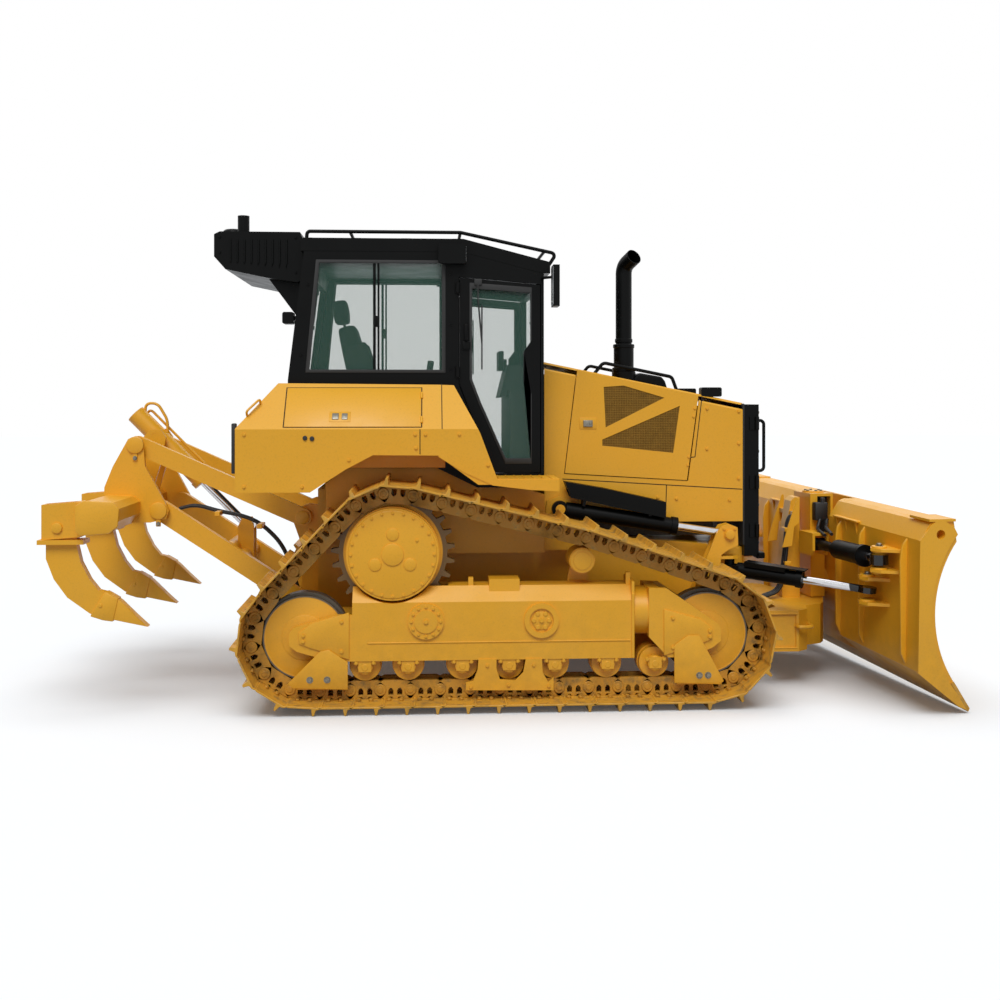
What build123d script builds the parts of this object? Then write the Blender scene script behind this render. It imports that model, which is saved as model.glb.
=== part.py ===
from build123d import *
import math
import os

# A mid-size crawler bulldozer with raised drive sprockets, a six-way blade on an inside push
# frame, a three-shank parallelogram ripper and an enclosed cab.
# Millimetres. +X is forward, +Y is the machine's left, +Z is up. The origin is on the ground,
# midway between the tracks and midway between the idler axles.

# ---- driving dimensions -------------------------------------------------------------------
GAUGE_HALF = 1080           # track centre from the machine's centre plane
SHOE_WIDTH = 610
SHOES = 40                  # shoes in each track
LINK_OUTER = 95             # outer face of a link rail, from the track's centre
LINK_INNER = 55
PIN_TO_RAIL = 65            # pin axis to the rail face that the rollers run on
PIN_TO_SHOE = 60            # pin axis to the inner face of the shoe plate
SHOE_PLATE = 13
GROUSER = 45                # height of a grouser over its plate
PIN_HEIGHT = PIN_TO_SHOE + SHOE_PLATE + GROUSER     # pin axis over the ground
BUSHING_R = 30

IDLER_X = 1373
IDLER_PIN_R = 362           # pins' circle round an idler
IDLER_Z = PIN_HEIGHT + IDLER_PIN_R
SPROCKET_X, SPROCKET_Z = -780, 1045
SPROCKET_PIN_R = 408
SPROCKET_TEETH = 25
CARRIER_X, CARRIER_Z, CARRIER_R = 509, 985, 88
CARRIER_PIN_R = CARRIER_R + PIN_TO_RAIL + 6
ROLLER_X = (-966, -676, -310, 6, 317, 677, 1004)
ROLLER_R = 102
ROLLER_FLANGE_R = 110
ROLLER_Z = PIN_HEIGHT + PIN_TO_RAIL + ROLLER_R + 1
FRAME_OUTER = 1250          # outer face of the track frame
FRAME_INNER = 910
PIVOT_X, PIVOT_Z = -557, 595            # shaft that carries the track frames
EQUALISER_X, EQUALISER_Z = 223, 593

BODY_HALF = 450             # main frame
HOOD_HALF = 520
HOOD_WALL = 12
CAB_HALF = 800
CAB_WALL = 50
CAB_BOTTOM = 1460           # under the front of the cab
CAB_REAR_BOTTOM = 1600      # under the seat, over the tracks' highest point
TANK_OUTER = 1170
TANK_WALL = 30
STEP_TOP = 1545
ROOF_PAD_TOP = 3238         # flat pad for a beacon's foot

LIFT_PIVOT = (900, 460)     # push frame's rear pins, X and Z
ARM_INNER, ARM_OUTER = 585, 670
LIFT_REAR = (420, 1287)     # lift cylinder's rear pin
LIFT_EYE = (1660, 1098)
LIFT_Y = 620
YAW_X = 2500                # blade's turning axis
TILT_Z = 660                # height of the blade's tilting axis
BLADE_YAW = 7               # degrees, as it stands: right end forward
BLADE_TILT = 1.7            # degrees, right end low
BLADE_HALF = 1636
ANGLE_REAR = (1680, 600, 840)           # angle cylinder's rear pivot
ANGLE_EYE = (2395, 1095, 787)           # its eye, with the blade square
TILT_INBOARD = (2385, -347, 985)        # tilt cylinder's inner pin, with the blade square
TILT_EYE = (2385, -1274, 1028)

RIPPER_LOW_FRONT = (-1445, 575)
RIPPER_LOW_REAR = (-2502, 1276)
RIPPER_UP_FRONT = (-1466, 1217)
RIPPER_UP_REAR = (-2669, 1755)
RIPPER_TRUNNION = (-2600, 1800)
RIPPER_ROD_PIN = (-1930, 1117)

ANGLE_ROD_TAIL = {-1: 415, 1: 183}      # rod's inner end from the rear pivot, by side
CLEAR = 0.05                # radial clearance of a pin that turns in its bore


# ---- forms --------------------------------------------------------------------------------
def side_plate(outline, y0, y1):
    """An outline in X and Z, carried from y0 to y1."""
    return extrude(Plane.XZ.offset(-y1) * Polygon(*outline, align=None), y1 - y0, dir=(0, -1, 0))


def plan_plate(outline, z0, z1):
    """An outline in X and Y, carried from z0 to z1."""
    return extrude(Plane.XY.offset(z0) * Polygon(*outline, align=None), z1 - z0, dir=(0, 0, 1))


def cross_plate(outline, x0, x1):
    """An outline in Y and Z, carried from x0 to x1."""
    return extrude(Plane.YZ.offset(x0) * Polygon(*outline, align=None), x1 - x0, dir=(1, 0, 0))


def box(x0, x1, y0, y1, z0, z1):
    return Pos((x0 + x1) / 2, (y0 + y1) / 2, (z0 + z1) / 2) * Box(x1 - x0, y1 - y0, z1 - z0)


def bar(start, end, radius):
    """A round bar from one point to another."""
    start, end = Vector(*start), Vector(*end)
    along = end - start
    return extrude(Plane(origin=start, z_dir=along) * Circle(radius), along.length)


def disc(centre, radius, y0, y1):
    """A round bar along Y, its centre given in X and Z."""
    return bar((centre[0], y0, centre[1]), (centre[0], y1, centre[1]), radius)


def mirrored(shape):
    return mirror(shape, about=Plane.XZ)


def both(shape):
    return shape + mirrored(shape)


def round_link(start, end, radius, y0, y1):
    """A flat bar along Y's planes with round ends, its centres in X and Z."""
    angle = math.degrees(math.atan2(end[1] - start[1], end[0] - start[0]))
    length = math.dist(start, end)
    web = box(0, length, y0, y1, -radius, radius)
    return disc(start, radius, y0, y1) + disc(end, radius, y0, y1) \
        + Pos(start[0], 0, start[1]) * Rot(0, -angle, 0) * web


def save(name, *solids):
    parts = [one for solid in solids for one in solid.solids()]
    export_step(Compound(parts), f"parts/{name}.step")


# ---- tracks -------------------------------------------------------------------------------
# x, z, radius of the pins' path round each wheel, in the order that the path meets them
WHEELS = [
    (-IDLER_X, IDLER_Z, IDLER_PIN_R),
    (SPROCKET_X, SPROCKET_Z, SPROCKET_PIN_R),
    (CARRIER_X, CARRIER_Z, CARRIER_PIN_R),
    (IDLER_X, IDLER_Z, IDLER_PIN_R),
]


def pin_places():
    """The pins of one track, evenly spaced along a tight path round its wheels."""
    spans = []
    for (xa, za, ra), (xb, zb, rb) in zip(WHEELS, WHEELS[1:] + WHEELS[:1]):
        distance = math.dist((xa, za), (xb, zb))
        heading = math.atan2(zb - za, xb - xa) + math.asin((rb - ra) / distance)
        spans.append((heading, math.sqrt(distance ** 2 - (rb - ra) ** 2)))
    pieces = []
    for index, (x, z, radius) in enumerate(WHEELS):
        before, after = spans[index - 1][0], spans[index]
        turn = (before - after[0]) % (2 * math.pi)
        pieces.append(("arc", radius * turn, x, z, radius, before + math.pi / 2))
        start = after[0] + math.pi / 2
        pieces.append(("run", after[1], x + radius * math.cos(start),
                       z + radius * math.sin(start), 0, after[0]))
    total = sum(piece[1] for piece in pieces)
    pitch = total / SHOES
    places = []
    for count in range(SHOES):
        rest = (count + 0.5) * pitch
        for kind, length, x, z, radius, angle in pieces:
            if rest <= length:
                break
            rest -= length
        if kind == "arc":
            angle -= rest / radius
            places.append((x + radius * math.cos(angle), z + radius * math.sin(angle)))
        else:
            places.append((x + rest * math.cos(angle), z + rest * math.sin(angle)))
    return places


PINS = pin_places()


def along_chain(stations):
    """Points by the chain: stations are (share of a link's length, distance outward)."""
    points = []
    for (xa, za), (xb, zb) in zip(PINS, PINS[1:] + PINS[:1]):
        length = math.dist((xa, za), (xb, zb))
        ux, uz = (xb - xa) / length, (zb - za) / length
        for share, out in stations:
            points.append((xa + share * length * ux - out * uz,
                           za + share * length * uz + out * ux))
    return points


def loop(outer, inner, y0, y1):
    return side_plate(outer, y0, y1) - side_plate(inner, y0 - 1, y1 + 1)


def track():
    plate_out = PIN_TO_SHOE + SHOE_PLATE
    tip = plate_out + GROUSER
    shoes = along_chain([(0.03, tip), (0.10, tip), (0.13, plate_out), (0.98, plate_out)])
    shoe_inner = along_chain([(1.0, PIN_TO_SHOE)])
    middle = -GAUGE_HALF
    solid = loop(shoes, shoe_inner, middle - SHOE_WIDTH / 2, middle + SHOE_WIDTH / 2)
    # each link has a flat rail for the rollers and is waisted at its pins
    rail_outer = along_chain([(0.0, PIN_TO_SHOE + 4), (1.0, PIN_TO_SHOE + 4)])
    rail_inner = along_chain([(0.0, -45), (0.12, -PIN_TO_RAIL), (0.88, -PIN_TO_RAIL)])
    for side in (-1, 1):
        near, far = sorted((middle + side * LINK_INNER, middle + side * LINK_OUTER))
        solid += loop(rail_outer, rail_inner, near, far)
    bushing = Plane.XZ * RegularPolygon(BUSHING_R, 5)
    bushings = [Pos(x, middle + LINK_INNER + 2, z) * extrude(bushing, 2 * LINK_INNER + 4)
                for x, z in PINS]
    return solid + bushings


def sprocket():
    """Toothed rim between the link rails, with the final drive's cover outside it."""
    root, tip = SPROCKET_PIN_R - BUSHING_R - 8, SPROCKET_PIN_R + 14
    middle = -GAUGE_HALF
    on_rim = [math.atan2(z - SPROCKET_Z, x - SPROCKET_X) for x, z in PINS
              if abs(math.dist((x, z), (SPROCKET_X, SPROCKET_Z)) - SPROCKET_PIN_R) < 1]
    step = 2 * math.pi / SPROCKET_TEETH
    # bushings sit midway between teeth
    phase = sum(on_rim) / len(on_rim) + step / 2
    outline = []
    for tooth in range(SPROCKET_TEETH):
        centre = phase + tooth * step
        for shift, radius in ((-0.056, root), (-0.022, tip), (0.022, tip), (0.056, root)):
            angle = centre + shift
            outline.append((SPROCKET_X + radius * math.cos(angle),
                            SPROCKET_Z + radius * math.sin(angle)))
    centre = (SPROCKET_X, SPROCKET_Z)
    solid = side_plate(outline, middle - 40, middle + 40)
    solid += disc(centre, 318, middle - 130, middle + 60)
    solid += disc(centre, 310, -1250, middle - 130)
    solid += disc(centre, 75, -1262, -1250)
    return solid - disc(centre, 60, -1263, -1256)


def idler(x):
    centre, middle = (x, IDLER_Z), -GAUGE_HALF
    tread = 281
    solid = disc(centre, 300, middle - 44, middle + 44)
    for side in (-1, 1):
        near, far = sorted((middle + side * 44, middle + side * LINK_OUTER))
        solid += disc(centre, tread, near, far)
    solid -= disc(centre, 210, middle - LINK_OUTER - 1, middle - LINK_OUTER + 28)
    solid -= disc(centre, 210, middle + LINK_OUTER - 28, middle + LINK_OUTER + 1)
    return solid + disc(centre, 62, middle - 116, middle + 116)


def roller(x):
    centre, middle = (x, ROLLER_Z), -GAUGE_HALF
    solid = disc(centre, ROLLER_FLANGE_R, middle - 46, middle + 46)
    solid += disc(centre, ROLLER_R, middle - LINK_OUTER, middle + LINK_OUTER)
    solid += disc(centre, 40, -FRAME_OUTER + 14, -FRAME_INNER - 14)
    for near in (-FRAME_OUTER + 8, -FRAME_INNER - 66):
        solid += box(x - 42, x + 42, near, near + 58, ROLLER_Z - 30, 330)
    return solid


def carrier():
    """Carrier roller, its shaft and the bracket that holds it over the track frame."""
    centre, middle = (CARRIER_X, CARRIER_Z), -GAUGE_HALF
    solid = disc(centre, CARRIER_R, -1185, -975)
    solid += disc(centre, 45, -1010, -930)
    foot = [(CARRIER_X - 95, 740), (CARRIER_X + 85, 740), (CARRIER_X + 45, CARRIER_Z),
            (CARRIER_X - 45, CARRIER_Z)]
    # its foot follows the frame's sloping shoulder
    shoulder = cross_plate([(-968, 1000), (-930, 1000), (-930, 760), (-968, 798)], 400, 610)
    return solid + (side_plate(foot, -968, -930) & shoulder)


def track_frame():
    section = [(-1250, 330), (-1250, 722), (-1170, 820), (-990, 820), (-910, 740),
               (-910, 330), (-972, 330), (-972, 452), (-1188, 452), (-1188, 330)]
    solid = cross_plate(section, -1050, 854)
    rear = [(-1040, 330), (-1040, 640), (-1150, 640), (-1440, 560), (-1470, 520),
            (-1470, 440), (-1420, 400), (-1180, 330)]
    front = [(958, 470), (958, 805), (1080, 800), (1430, 560), (1455, 520), (1455, 440),
             (1400, 395), (1240, 330), (1090, 330)]
    for arm in (rear, front):
        solid += side_plate(arm, -1250, -1196)
        solid += side_plate(arm, -964, -910)
    solid += bar((840, -1080, 630), (990, -1080, 630), 165)
    solid += box(958, 1035, -1200, -960, 480, 800)
    solid += cross_plate([(-1250, 330), (-1250, 850), (-910, 850), (-910, 330)], 840, 858) \
        - box(830, 870, -1188, -972, 300, 452)
    solid += disc((PIVOT_X, PIVOT_Z), 120, -1268, -1245)
    solid += disc((PIVOT_X, PIVOT_Z), 78, -1276, -1260)
    solid += disc((EQUALISER_X, EQUALISER_Z), 117, -1270, -1245)
    solid -= disc((EQUALISER_X, EQUALISER_Z), 82, -1271, -1254)
    # guards that hang between the rollers, with feet under the pivot shafts
    guard = [(-287, 128), (305, 120), (305, 208), (268, 175), (232, 242), (226, 335), (117, 335),
             (99, 244), (45, 190), (-58, 198), (-82, 271), (-82, 335), (-203, 335), (-210, 262),
             (-240, 190), (-287, 180)]
    for near in (-1258, -914):
        solid += side_plate(guard, near, near + 12)
    # horn, box and lug on the top
    solid += box(812, 842, -1175, -1135, 800, 901) + box(-128, 79, -1200, -1030, 780, 866)
    solid += box(-268, -235, -1165, -1120, 780, 874)
    # room for the final drive, the sprocket's teeth and its cover
    for radius, near, far in ((250, -1001, -900), (440, -1160, -1000), (330, -1275, -1159)):
        solid -= disc((SPROCKET_X, SPROCKET_Z), radius, near, far)
    return solid


# ---- main frame, engine and hood ----------------------------------------------------------
def main_frame():
    side = [(-1350, 470), (-1350, 1430), (-560, 1430), (-400, 1060), (900, 1060),
            (1812, 980), (1812, 560), (1650, 450), (-1250, 450)]
    solid = side_plate(side, -BODY_HALF, BODY_HALF)
    solid += both(disc((SPROCKET_X, SPROCKET_Z), 235, -1020, -BODY_HALF + 10))
    solid += both(disc((PIVOT_X, PIVOT_Z), 85, -FRAME_INNER, -BODY_HALF + 10))
    solid += both(disc((EQUALISER_X, EQUALISER_Z), 70, -FRAME_INNER, -BODY_HALF + 10))
    # stub pins that the push frame and the lift cylinders swing on
    solid += both(disc(LIFT_PIVOT, 110, -570, -BODY_HALF + 10))
    solid += both(disc(LIFT_PIVOT, 50, -680, -570))
    mast = [(300, 1050), (330, 1340), (420, 1375), (520, 1330), (620, 1050)]
    solid += both(side_plate(mast, -556, -530))
    solid += both(box(300, 620, -556, -BODY_HALF + 10, 980, 1056))
    solid += both(disc(LIFT_REAR, 35, -655, -550))
    # mounts under the cab
    solid += both(box(-1300, -1200, -440, -340, 1420, CAB_REAR_BOTTOM))
    solid += both(box(-180, -80, -440, -340, 1050, CAB_BOTTOM))
    # uprights at the rear that carry the ripper's links
    upright = [(-1340, 480), (-1340, 1300), (-1430, 1310), (-1540, 1270), (-1540, 1170),
               (-1480, 1000), (-1480, 700), (-1530, 620), (-1520, 520), (-1440, 480)]
    solid += both(side_plate(upright, -330, -290))
    for pin in (RIPPER_LOW_FRONT, RIPPER_UP_FRONT):
        solid += both(disc(pin, 32, -425, -330))
    return solid


def engine():
    return box(480, 1620, -330, 330, 1060, 1900)


HOOD_TOP = [(315, 2365), (1812, 2061)]      # X and Z of the hood's sloping top line
DOOR_EDGE = [(1475, 2124), (1388, 1481)]    # front edge of the engine door, top and bottom
DOOR_BACK = [(553, 2310), (461, 1537)]


HOOD_BOTTOM = 1180


def hood_block():
    """The hood's outer form, filled, with a wide bevel along each top edge."""
    (rear, high), (front, low) = HOOD_TOP
    solid = side_plate([(rear, high), (front, low), (front, HOOD_BOTTOM), (rear, HOOD_BOTTOM)],
                       -HOOD_HALF, HOOD_HALF)
    edges = solid.edges().filter_by(lambda e: abs(e.center().Z - (high + low) / 2) < 5
                                    and abs(abs(e.center().Y) - HOOD_HALF) < 1)
    return chamfer(edges, 60)


def hood():
    (rear, high), (front, low) = HOOD_TOP
    inside = [(rear - 1, high - HOOD_WALL - 2), (front - HOOD_WALL, low - HOOD_WALL - 2),
              (front - HOOD_WALL, HOOD_BOTTOM - 1), (rear - 1, HOOD_BOTTOM - 1)]
    solid = hood_block() - side_plate(inside, -HOOD_HALF + HOOD_WALL, HOOD_HALF - HOOD_WALL)
    opening = [DOOR_BACK[0], DOOR_EDGE[0], DOOR_EDGE[1], DOOR_BACK[1]]
    solid -= both(side_plate(opening, -HOOD_HALF - 1, -HOOD_HALF + HOOD_WALL + 1))
    return solid


# corners in X and Z of the two three-sided vents of the engine door
VENTS = [
    [(755, 2180), (905, 2190), (1210, 2100), (770, 1880)],
    [(1325, 2040), (1275, 1690), (745, 1745), (745, 1790)],
]


def engine_door():
    inset = 6
    outline = [(DOOR_BACK[0][0] + inset, DOOR_BACK[0][1] - inset),
               (DOOR_EDGE[0][0] - 10, DOOR_EDGE[0][1] - inset),
               (DOOR_EDGE[1][0] - 10, DOOR_EDGE[1][1] + inset),
               (DOOR_BACK[1][0] + inset, DOOR_BACK[1][1] + inset)]
    solid = side_plate(outline, -HOOD_HALF - 6, -HOOD_HALF + HOOD_WALL)
    for vent in VENTS:
        solid -= side_plate(vent, -HOOD_HALF - 7, -HOOD_HALF + 2)
    return solid


def radiator_guard():
    front, back, low, high = 1922, 1812, 920, 2050
    solid = box(back, front, -HOOD_HALF, HOOD_HALF, low, high)
    solid -= box(back + 20, front + 1, -HOOD_HALF + 60, HOOD_HALF - 60, low + 90, high - 90)
    bars = 11
    pitch = (high - low - 180) / (bars + 1)
    for count in range(bars):
        z = low + 90 + pitch * (count + 1)
        slat = side_plate([(front - 60, z - 8), (front - 12, z - 34), (front - 6, z - 28),
                           (front - 54, z - 2)], -HOOD_HALF + 55, HOOD_HALF - 55)
        solid += slat
    solid += box(back + 25, front - 15, -30, 30, low + 40, high - 40)
    grab = [(front - 7, -500, 1930), (front + 43, -500, 1930), (front + 43, -500, 1555),
            (front - 7, -500, 1555)]
    return solid + both(rail_tube(grab, 12, 30))


def exhaust():
    x, y, radius, top = 950, -250, 61, 3060
    solid = bar((x, y, 2215), (x, y, 2300), 90) + bar((x, y, 2290), (x, y, 2500), 76)
    bend = FilletPolyline((x, y, 2490), (x, y, top + 40), (x + 60, y - 110, top + 105), radius=90)
    tube = sweep(Plane(origin=(x, y, 2490), z_dir=(0, 0, 1)) * Circle(radius), bend)
    mouth = Vector(x + 60, y - 110, top + 105)
    back = mouth - Vector(60, -110, 65).normalized() * 100
    solid += tube - bar(tuple(back), tuple(mouth + (mouth - back) * 0.1), radius - 6)
    return solid - hood_block()


def rail_tube(points, radius, bend=40):
    path = FilletPolyline(*points, radius=bend)
    start = Vector(*points[1]) - Vector(*points[0])
    return sweep(Plane(origin=points[0], z_dir=start) * Circle(radius), path)


def hood_rails():
    def top(x):
        share = (x - HOOD_TOP[0][0]) / (HOOD_TOP[1][0] - HOOD_TOP[0][0])
        return HOOD_TOP[0][1] + share * (HOOD_TOP[1][1] - HOOD_TOP[0][1])
    y = -400
    points = [(700, y, top(700) - 10), (770, y, top(770) + 90), (1290, y, top(1290) + 90),
              (1330, y, top(1330) - 10)]
    return both(rail_tube(points, 13) - hood_block())


# ---- cab ----------------------------------------------------------------------------------
CAB_SIDE = [(-1530, CAB_REAR_BOTTOM), (-1530, 2224), (-1418, 3135), (-300, 3135), (284, 2985),
            (284, CAB_BOTTOM), (-190, CAB_BOTTOM), (-480, CAB_REAR_BOTTOM)]
SIDE_WINDOW = [(-1388, 2291), (-1316, 3060), (-436, 3060), (-436, 2291)]
DOORWAY = [(-323, 2960), (262, 2910), (262, 1560), (-80, 1560), (-323, 2190)]


def cab_shell():
    floor, roof = CAB_BOTTOM + CAB_WALL, 3090
    rear_floor = CAB_REAR_BOTTOM + CAB_WALL
    inside = [(-1480, rear_floor), (-1480, 2224), (-1368, roof), (-300, roof), (234, 2950),
              (234, floor), (-190, floor), (-480, rear_floor)]
    half = CAB_HALF
    solid = side_plate(CAB_SIDE, -half, half)
    solid -= side_plate(inside, -half + CAB_WALL, half - CAB_WALL)
    for opening in (SIDE_WINDOW, DOORWAY):
        solid -= both(side_plate(opening, -half - 1, -half + CAB_WALL + 1))
    solid -= box(230, 290, -700, 700, 1700, 2900)
    solid -= box(-1600, -1360, -690, 690, 2300, 2980)
    return solid


def cab_glass():
    half, thick = CAB_HALF, 8
    side = both(side_plate(SIDE_WINDOW, -half + 15, -half + 15 + thick))
    front = box(255, 255 + thick, -700, 700, 1700, 2900)
    rear = cross_plate([(-690, 2300), (690, 2300), (690, 2980), (-690, 2980)], -1600, -1300)
    slope = [(-1520, 2224), (-1408, 3135), (-1400, 3135), (-1512, 2224)]
    return side, front, rear & side_plate(slope, -700, 700)


def cab_roof():
    line = [(-1440, 3137), (-1440, 3215), (-1400, 3230), (-290, 3230), (320, 3072),
            (330, 3040), (330, 2990), (284, 2987), (-300, 3137)]
    pad = box(-1060, -640, -210, 210, 3225, ROOF_PAD_TOP)
    return side_plate(line, -CAB_HALF, CAB_HALF) + pad


def roof_rail():
    y = -690
    points = [(-1410, y, 3229), (-1405, y, 3290), (-310, y, 3290), (385, y, 3142),
              (318, y, 3040)]
    solid = both(rail_tube(points, 13, 25))
    for x, z in ((-1100, 3290), (-310, 3290), (300, 3160)):
        solid += bar((x, y, z), (x, -y, z), 12)
    return solid - cab_roof()


def cooling_box():
    side = [(-2070, 3110), (-2070, 3270), (-2030, 3290), (-1460, 3290), (-1440, 3240),
            (-1440, 2950), (-1480, 2930), (-1700, 2960), (-1990, 3020)]
    solid = side_plate(side, -650, 650)
    wedge = [(-1400, 2945), (-1700, 2970), (-1500, 2700), (-1400, 2700)]
    for y in (-560, 520):
        solid += side_plate(wedge, y, y + 40)
    solid += bar((-1880, -520, 3285), (-1880, -520, 3420), 42)
    return solid - side_plate(CAB_SIDE, -CAB_HALF, CAB_HALF)


def mirrors():
    """A tall mirror on a bent arm beside each front post."""
    arm = rail_tube([(274, -790, 2950), (274, -850, 2950), (340, -930, 2950)], 10, 20)
    mirror_head = box(332, 376, -1000, -850, 2740, 3030)
    return both(arm + mirror_head) - side_plate(CAB_SIDE, -CAB_HALF, CAB_HALF)


# housings on the right: x, y and z from and to, then the foot that carries each of them
LAMPS = [
    ((-470, -275), (-888, -808), (3045, 3185), (-400, -345, -812, -800, 3140, 3175)),
    ((-1585, -1505), (-660, -560), (2630, 2715), (-1510, -1465, -625, -595, 2660, 2690)),
    ((1500, 1655), (-470, -385), (2108, 2178), (1560, 1595, -445, -410, 2060, 2115)),
]


def work_lamps():
    """Lamps on the roof's sides, on the cab's rear and on the hood, a pair of each."""
    blocked = side_plate(CAB_SIDE, -CAB_HALF, CAB_HALF) + cab_roof() + hood_block()
    lamps = []
    for (x0, x1), (y0, y1), (z0, z1), foot in LAMPS:
        housing = box(x0, x1, y0, y1, z0, z1)
        housing = fillet(housing.edges().filter_by(Axis.Y), 14)
        lamp = housing + box(*foot) - blocked
        lamps += [lamp, mirrored(lamp)]
    return lamps


def cab_door():
    """Cab door with its window cut, seen from outside on the right."""
    gap = 6
    outline = [(DOORWAY[0][0] + gap, DOORWAY[0][1] - gap), (DOORWAY[1][0] - gap, DOORWAY[1][1] - gap),
               (DOORWAY[2][0] - gap, DOORWAY[2][1] + gap),
               (DOORWAY[3][0] + gap, DOORWAY[3][1] + gap),
               (DOORWAY[4][0] + gap, DOORWAY[4][1] + gap)]
    window = [(-235, 2890), (190, 2860), (190, 2497), (140, 2430), (140, 2210), (190, 2130),
              (190, 1655), (10, 1655), (-170, 2060), (-235, 2230)]
    solid = side_plate(outline, -CAB_HALF - 4, -CAB_HALF + CAB_WALL)
    solid -= side_plate(window, -CAB_HALF - 5, -CAB_HALF + CAB_WALL + 1)
    pane = side_plate(window, -CAB_HALF + 12, -CAB_HALF + 20)
    return solid, pane


def seat():
    solid = box(-900, -420, -250, 250, 1900, 2020)
    solid += side_plate([(-1000, 1960), (-1110, 2560), (-1020, 2580), (-900, 1980)], -240, 240)
    solid += side_plate([(-1135, 2600), (-1145, 2740), (-1070, 2750), (-1050, 2600)], -130, 130)
    solid += side_plate([(-1110, 2540), (-1135, 2620), (-1050, 2620), (-1020, 2540)], -60, 60)
    solid += box(-850, -480, -180, 180, CAB_REAR_BOTTOM + CAB_WALL, 1900)
    return solid


def console():
    solid = box(60, 230, -500, 500, CAB_BOTTOM + CAB_WALL, 2150)
    solid += side_plate([(0, 2100), (60, 2350), (180, 2350), (230, 2150)], -260, 260)
    return solid + both(box(-900, -480, -480, -330, CAB_REAR_BOTTOM + CAB_WALL, 2130))


# ---- tanks and steps ----------------------------------------------------------------------
def side_tank():
    """Tank with its sloping upper face, the skin that runs on past it, and the step."""
    tank = [(-1840, 1459), (-1840, 1890), (-1583, 2200), (-447, 2190), (-447, 1705),
            (-915, 1709), (-1100, 1612), (-1340, 1457)]
    skin = [(-470, 2190), (-362, 2187), (-189, 1861), (-69, STEP_TOP - 5), (355, STEP_TOP - 5),
            (355, 1459), (169, 1467), (-100, 1500), (-300, 1590), (-470, 1695)]
    step = [(-470, 1745), (-470, 1700), (-200, STEP_TOP - 40), (355, STEP_TOP - 40),
            (355, STEP_TOP), (-180, STEP_TOP)]
    # the face leans inward above the crease
    section = cross_plate([(-TANK_OUTER, 1400), (-TANK_OUTER, 1885), (-900, 2203), (-900, 2250),
                           (-CAB_HALF, 2250), (-CAB_HALF, 1400)], -1900, 400)
    band = cross_plate([(-TANK_OUTER, 1400), (-TANK_OUTER, 1885), (-900, 2203), (-880, 2180),
                        (-TANK_OUTER + TANK_WALL, 1873), (-TANK_OUTER + TANK_WALL, 1400)],
                       -1900, 400)
    solid = side_plate(tank, -TANK_OUTER - 50, -CAB_HALF + 50) & section
    skin = side_plate(skin, -TANK_OUTER - 50, -CAB_HALF + 50) & band
    return solid + skin + side_plate(step, -TANK_OUTER + 5, -CAB_HALF)


# ---- push frame and blade -----------------------------------------------------------------
def push_frame():
    outer_half = [(820, 670), (2180, 670), (2262, 600), (2305, 445), (2435, 385), (2485, 300),
                  (2555, 90)]
    outer = outer_half + [(x, -y) for x, y in reversed(outer_half)]
    inner = [(700, 585), (1960, 585), (2060, 485), (2060, -485), (1960, -585), (700, -585)]
    solid = plan_plate(outer, 235, 535) - plan_plate(inner, 230, 540)
    # side walls are set back from the top and bottom plates
    for side in (-1, 1):
        near, far = sorted((side * 656, side * 700))
        solid -= box(950, 2160, near, far, 262, 510)
    eye = both(disc(LIFT_PIVOT, 110, -ARM_OUTER, -ARM_INNER))
    solid += eye
    solid -= both(disc(LIFT_PIVOT, 50 + CLEAR, -ARM_OUTER - 20, -ARM_INNER + 20))
    lug = [(1330, 530), (1560, 1100), (1600, 1160), (1660, 1175), (1720, 1150), (1725, 1020),
           (1650, 985), (1600, 950), (1560, 530)]
    for near in (-582, -678):
        solid += both(side_plate(lug, near, near + 20))
    for near in (-562, -690):
        solid += both(disc(LIFT_EYE, 40, near, near + 14))
    solid += both(box(1380, 1540, -670, -570, 530, 620))
    # shelves that hold the angle cylinders' upright pins
    for z in (742, 918):
        shelf = [(1540, -570), (1540, -670), (1690, -665), (1735, -640), (1735, -570),
                 (1690, -545), (1600, -545)]
        solid += both(plan_plate(shelf, z, z + 20))
    rear_pin = bar((ANGLE_REAR[0], -ANGLE_REAR[1], 700), (ANGLE_REAR[0], -ANGLE_REAR[1], 960),
                   24 + CLEAR)
    solid -= both(rear_pin)
    # tower behind the blade's turning axis
    tower = [(2230, 530), (2230, 700), (2270, 1100), (2300, 1290), (2330, 1320), (2372, 1320),
             (2372, 530)]
    solid += side_plate(tower, -80, 80)
    solid += box(2300, YAW_X, -80, 80, 955, 975)
    solid += bar((YAW_X, 0, 955), (YAW_X, 0, 975), 100)
    solid -= bar((YAW_X, 0, 900), (YAW_X, 0, 980), 45 + CLEAR)
    solid -= bar((YAW_X, 0, 440), (YAW_X, 0, 540), 50 + CLEAR)
    return solid


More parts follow.
